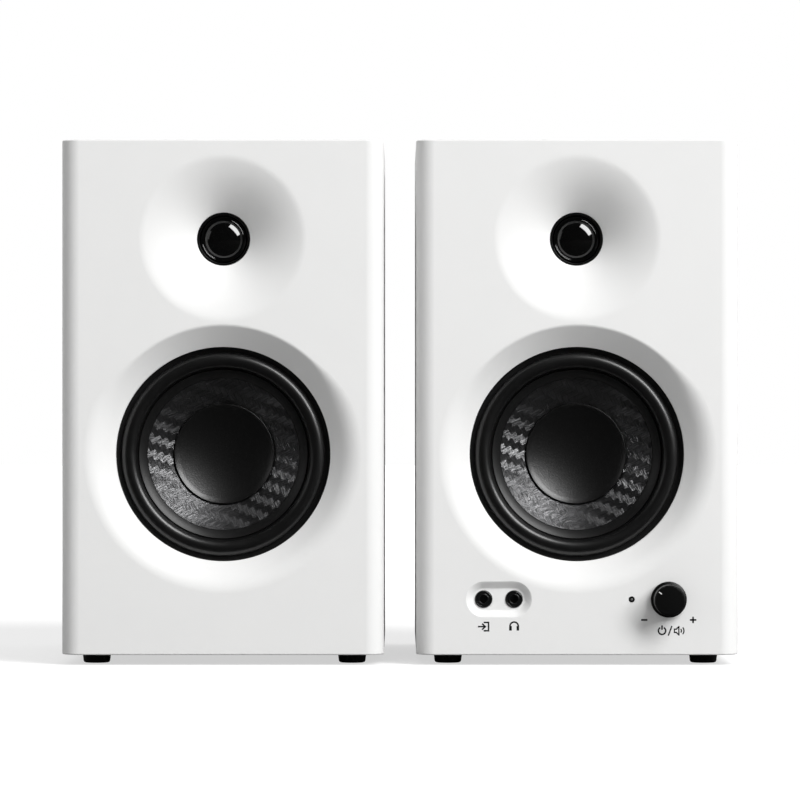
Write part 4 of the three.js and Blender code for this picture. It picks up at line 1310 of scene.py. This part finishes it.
def makePhonoPair():
    low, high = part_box("rca_jack_pair")
    x, z = centreOf("rca_jack_pair")
    tip, plate = depthOf(high.y), depthOf(plateY)
    replaced = ["rca_jack_pair"]
    for hand, colour, name in ((-1, redPlastic, "right"), (1, whitePlastic, "left")):
        centre = (x + hand * 8 * mm, z)
        shell = filleted(
            [
                (2.75, tip, 0.15),
                (4.15, tip, 0.35),
                (4.15, plate + 2.0),
                (4.15, plate - 8),
                (2.75, plate - 8),
            ]
        )
        addPiece(f"phono_{name}_shell", turn(shell, centre, 64), nickel, replaced=replaced)
        replaced = []
        core = filleted([(1.6, tip - 0.4, 0.2), (2.7, tip - 0.4, 0.2), (2.7, plate), (1.6, plate)])
        addPiece(f"phono_{name}_core", turn(core, centre, 48), colour)
        foot, top = plate + 0.05, plate + 1.3
        collar = filleted([(4.2, foot), (5.6, foot), (5.6, top, 0.35), (4.2, top, 0.1)])
        addPiece(f"phono_{name}_collar", turn(collar, centre, 64), colour)
    body = bmesh.new()
    addBox(body, x, plateY - 8 * mm, z, 30 * mm, 11 * mm, 14 * mm, bevel=0.0005)
    addPiece("phono_body", body, blackPlastic)


def makeInletPins():
    x, z = centreOf("power_inlet")
    top = depthOf(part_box("power_inlet")[1].y) - 1.9
    shape = bmesh.new()
    for hand in (-1, 1):
        pin = [(0, top), (0.5, top), (1.0, top - 0.4), (1.26, top - 1.1), (1.26, top - 10.9), (0, top - 10.9)]
        turn(pin, (x + hand * 4.3 * mm, z), 32, shape=shape)
    addPiece("inlet_pins", shape, nickel)


rockerSize = {"rest": 10, "middle": 3.4, "end": 4.6, "half": 7.4, "share": 0.55}  # marks sit at this share


def makeRockerMarks():
    # a bar and a ring, on the two tilted halves of the rocker
    r = rockerSize
    joint = next(j for j in frame["joints"] if j["name"] == "power_switch_rock")
    pivot = Vector(joint["pos_m"])
    rest = Matrix.Translation(pivot) @ Matrix.Rotation(math.radians(r["rest"]), 4, "X")
    rise = r["end"] - r["middle"]
    slope = math.atan2(rise, r["half"])
    for name, hand in (("bar", 1), ("ring", -1)):
        shape = bmesh.new()
        if name == "bar":
            addMark(shape, 0, 0, 0, 0.5, 2.6)
        else:
            addArc(shape, 0, 0, 0, 1.125, 0, 360, 0.45, 40)
        at = Vector((0, (r["middle"] + r["share"] * rise) * mm, hand * r["share"] * r["half"] * mm))
        tilt = Matrix.Rotation(-hand * slope, 4, "X")
        bmesh.ops.transform(shape, matrix=rest @ Matrix.Translation(at) @ tilt, verts=shape.verts)
        addPiece(f"rocker_{name}", shape, inkWhite, "switch_rocker")


def makeRear():
    soften("control_plate", 0.0005, plateBlack)
    low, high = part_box("control_plate")
    inset = 3.4 * mm
    spots = [
        (x, z)
        for x in (low.x + inset, high.x - inset)
        for z in (low.z + inset, (low.z + high.z) / 2, high.z - inset)
    ]
    makeScrews("plate_screws", spots, plateY, 1.9)
    for side in speakers:
        node = f"{side}_speaker_terminal"
        low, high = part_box(node)
        surface = plateY if side == "active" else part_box("passive_rear_panel")[1].y
        flange = surface + 2.0 * mm
        inset = 1.9 * mm
        spots = [(x, z) for x in (low.x + inset, high.x - inset) for z in (low.z + inset, high.z - inset)]
        makeScrews(f"{side}_terminal_screws", spots, flange, 1.3)
        soften(node, 0.00035, blackPlastic)
        soften(f"{side}_terminal_lever_red", 0.0004, redPlastic)
        soften(f"{side}_terminal_lever_black", 0.0004, satinBlack)
    x, z = centreOf("power_inlet")
    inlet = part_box("power_inlet")[1].y
    makeScrews("inlet_screws", [(x - 0.0118, z), (x + 0.0118, z)], inlet, 1.5)
    soften("power_inlet", 0.0004, blackPlastic)
    soften("power_switch_housing", 0.0004, blackPlastic)
    soften("power_switch_rocker", 0.0004, satinBlack)
    soften("amplifier_board", 0.0002, circuit, segments=1)
    soften("power_supply_board", 0.0002, circuit, segments=1)
    soften("passive_crossover_board", 0.0002, circuit, segments=1)
    makeToneKnob("treble_knob", "treble_control")
    makeToneKnob("bass_knob", "bass_control")
    makeSpeakerSocket("trs_jack_left")
    makeSpeakerSocket("trs_jack_right")
    makePhonoPair()
    makeInletPins()
    makeRockerMarks()
    makeRearMarks()


makeRear()
print("rear made")


studio = {
    "target": Vector((0, frontY, 0.115)),
    "key": Vector((0.579, -0.574, 0.579)),
    "keyAway": 4.0,
    "keySize": (3.0, 1.25),
    "keyPower": 190,
    "fill": Vector((-0.86, -0.42, 0.28)),
    "fillAway": 3.5,
    "fillSize": (1.2, 1.6),
    "fillPower": 5,
    "ambient": 0.365,
    "behind": 0.70,
    "mirrored": 0.02,
    "floorColour": 0.3,
    "floorShown": 0.45,
    "floorLift": 0.6,
    "whiteFrom": 0.3,  # metres from the middle, where the floor starts to turn white
    "whiteAt": 1.2,
    "frontEnds": 0.4,  # metres behind the middle, where the floor stops being dim in reflections
}


def addLamp(name, direction, away, size, power, across):
    data = bpy.data.lights.new(name, "AREA")
    data.shape = "RECTANGLE"
    data.size, data.size_y = size
    data.energy = power
    lamp = bpy.data.objects.new(name, data)
    back = direction.normalized()
    right = (across - back * across.dot(back)).normalized()
    up = back.cross(right)
    axes = Matrix((right, up, back)).transposed().to_4x4()
    lamp.matrix_world = Matrix.Translation(studio["target"] + back * away) @ axes
    scene.collection.objects.link(lamp)


def makeFloor():
    shape = bmesh.new()
    bmesh.ops.create_grid(shape, x_segments=1, y_segments=1, size=6)
    paint = Paint("floor_paper")
    seen, glossy, through = paint.rays("Is Camera Ray", "Is Glossy Ray", "Is Transmission Ray")
    fibre = paint.noise(0.002, 2)
    grey = studio["floorColour"]
    sockets = {"Value": paint.axes(paint.place())[1], "From Min": studio["frontEnds"], "From Max": 0.0}
    toFront = paint.node("ShaderNodeMapRange", {}, sockets)
    pale = fibre * 0.05 + seen * studio["floorShown"] + (1 - seen) * grey - glossy * toFront * (grey * 0.98)
    colour = paint.vector(pale, pale, pale)
    distance = paint.join("LENGTH", paint.place())
    distance = Signal(paint, distance.socket.node.outputs["Value"])
    sockets = {"Value": distance, "From Min": studio["whiteFrom"], "From Max": studio["whiteAt"]}
    far = paint.node("ShaderNodeMapRange", {}, sockets)
    base = paint.node("ShaderNodeBsdfDiffuse", {}, {"Color": colour})
    shown = (seen + through + glossy * (1 - toFront)) * (studio["floorLift"] + far * (1 - studio["floorLift"]))
    lift = paint.node("ShaderNodeEmission", {}, {"Color": (1, 1, 1, 1), "Strength": shown})
    both = paint.node("ShaderNodeAddShader", {}, {0: base, 1: lift})
    floor = addPiece("floor", shape, paint.finish(both), body=None)


def makeWorld():
    # white behind the pair; reflections of the room in front are dim, so that the black parts stay deep
    paint = Paint("studio", world=True)
    seen, glossy, through = paint.rays("Is Camera Ray", "Is Glossy Ray", "Is Transmission Ray")
    toBack = paint.axes(paint.node("ShaderNodeTexCoord", out="Generated"))[1]
    sockets = {"Value": toBack, "From Min": 0.0, "From Max": 0.35}
    behind = paint.node("ShaderNodeMapRange", {}, sockets)
    room = studio["ambient"] + behind * (studio["behind"] - studio["ambient"])
    mirrored = studio["mirrored"] + behind * (1 - studio["mirrored"])
    plain = room + glossy * (mirrored - room)
    shown = seen.math("MAXIMUM", seen, through)
    sockets = {"Color": (1, 1, 1, 1), "Strength": plain + shown * (1 - plain)}
    scene.world = paint.finish(paint.node("ShaderNodeBackground", {}, sockets))


def makeCamera():
    view = {"away": 2.0, "height": 0.11507, "width": 0.3469}
    data = bpy.data.cameras.new("camera")
    data.lens = data.sensor_width * view["away"] / view["width"]
    camera = bpy.data.objects.new("camera", data)
    camera.location = (0, frontY - view["away"], view["height"])
    camera.rotation_euler = (math.radians(90), 0, 0)
    data.clip_end = 50
    scene.collection.objects.link(camera)
    scene.camera = camera


makeFloor()
makeWorld()
makeCamera()
addLamp("key", studio["key"], studio["keyAway"], studio["keySize"], studio["keyPower"], Vector((-1, 0, 1)))
addLamp("fill", studio["fill"], studio["fillAway"], studio["fillSize"], studio["fillPower"], Vector((0, 1, 0)))
print("studio made")
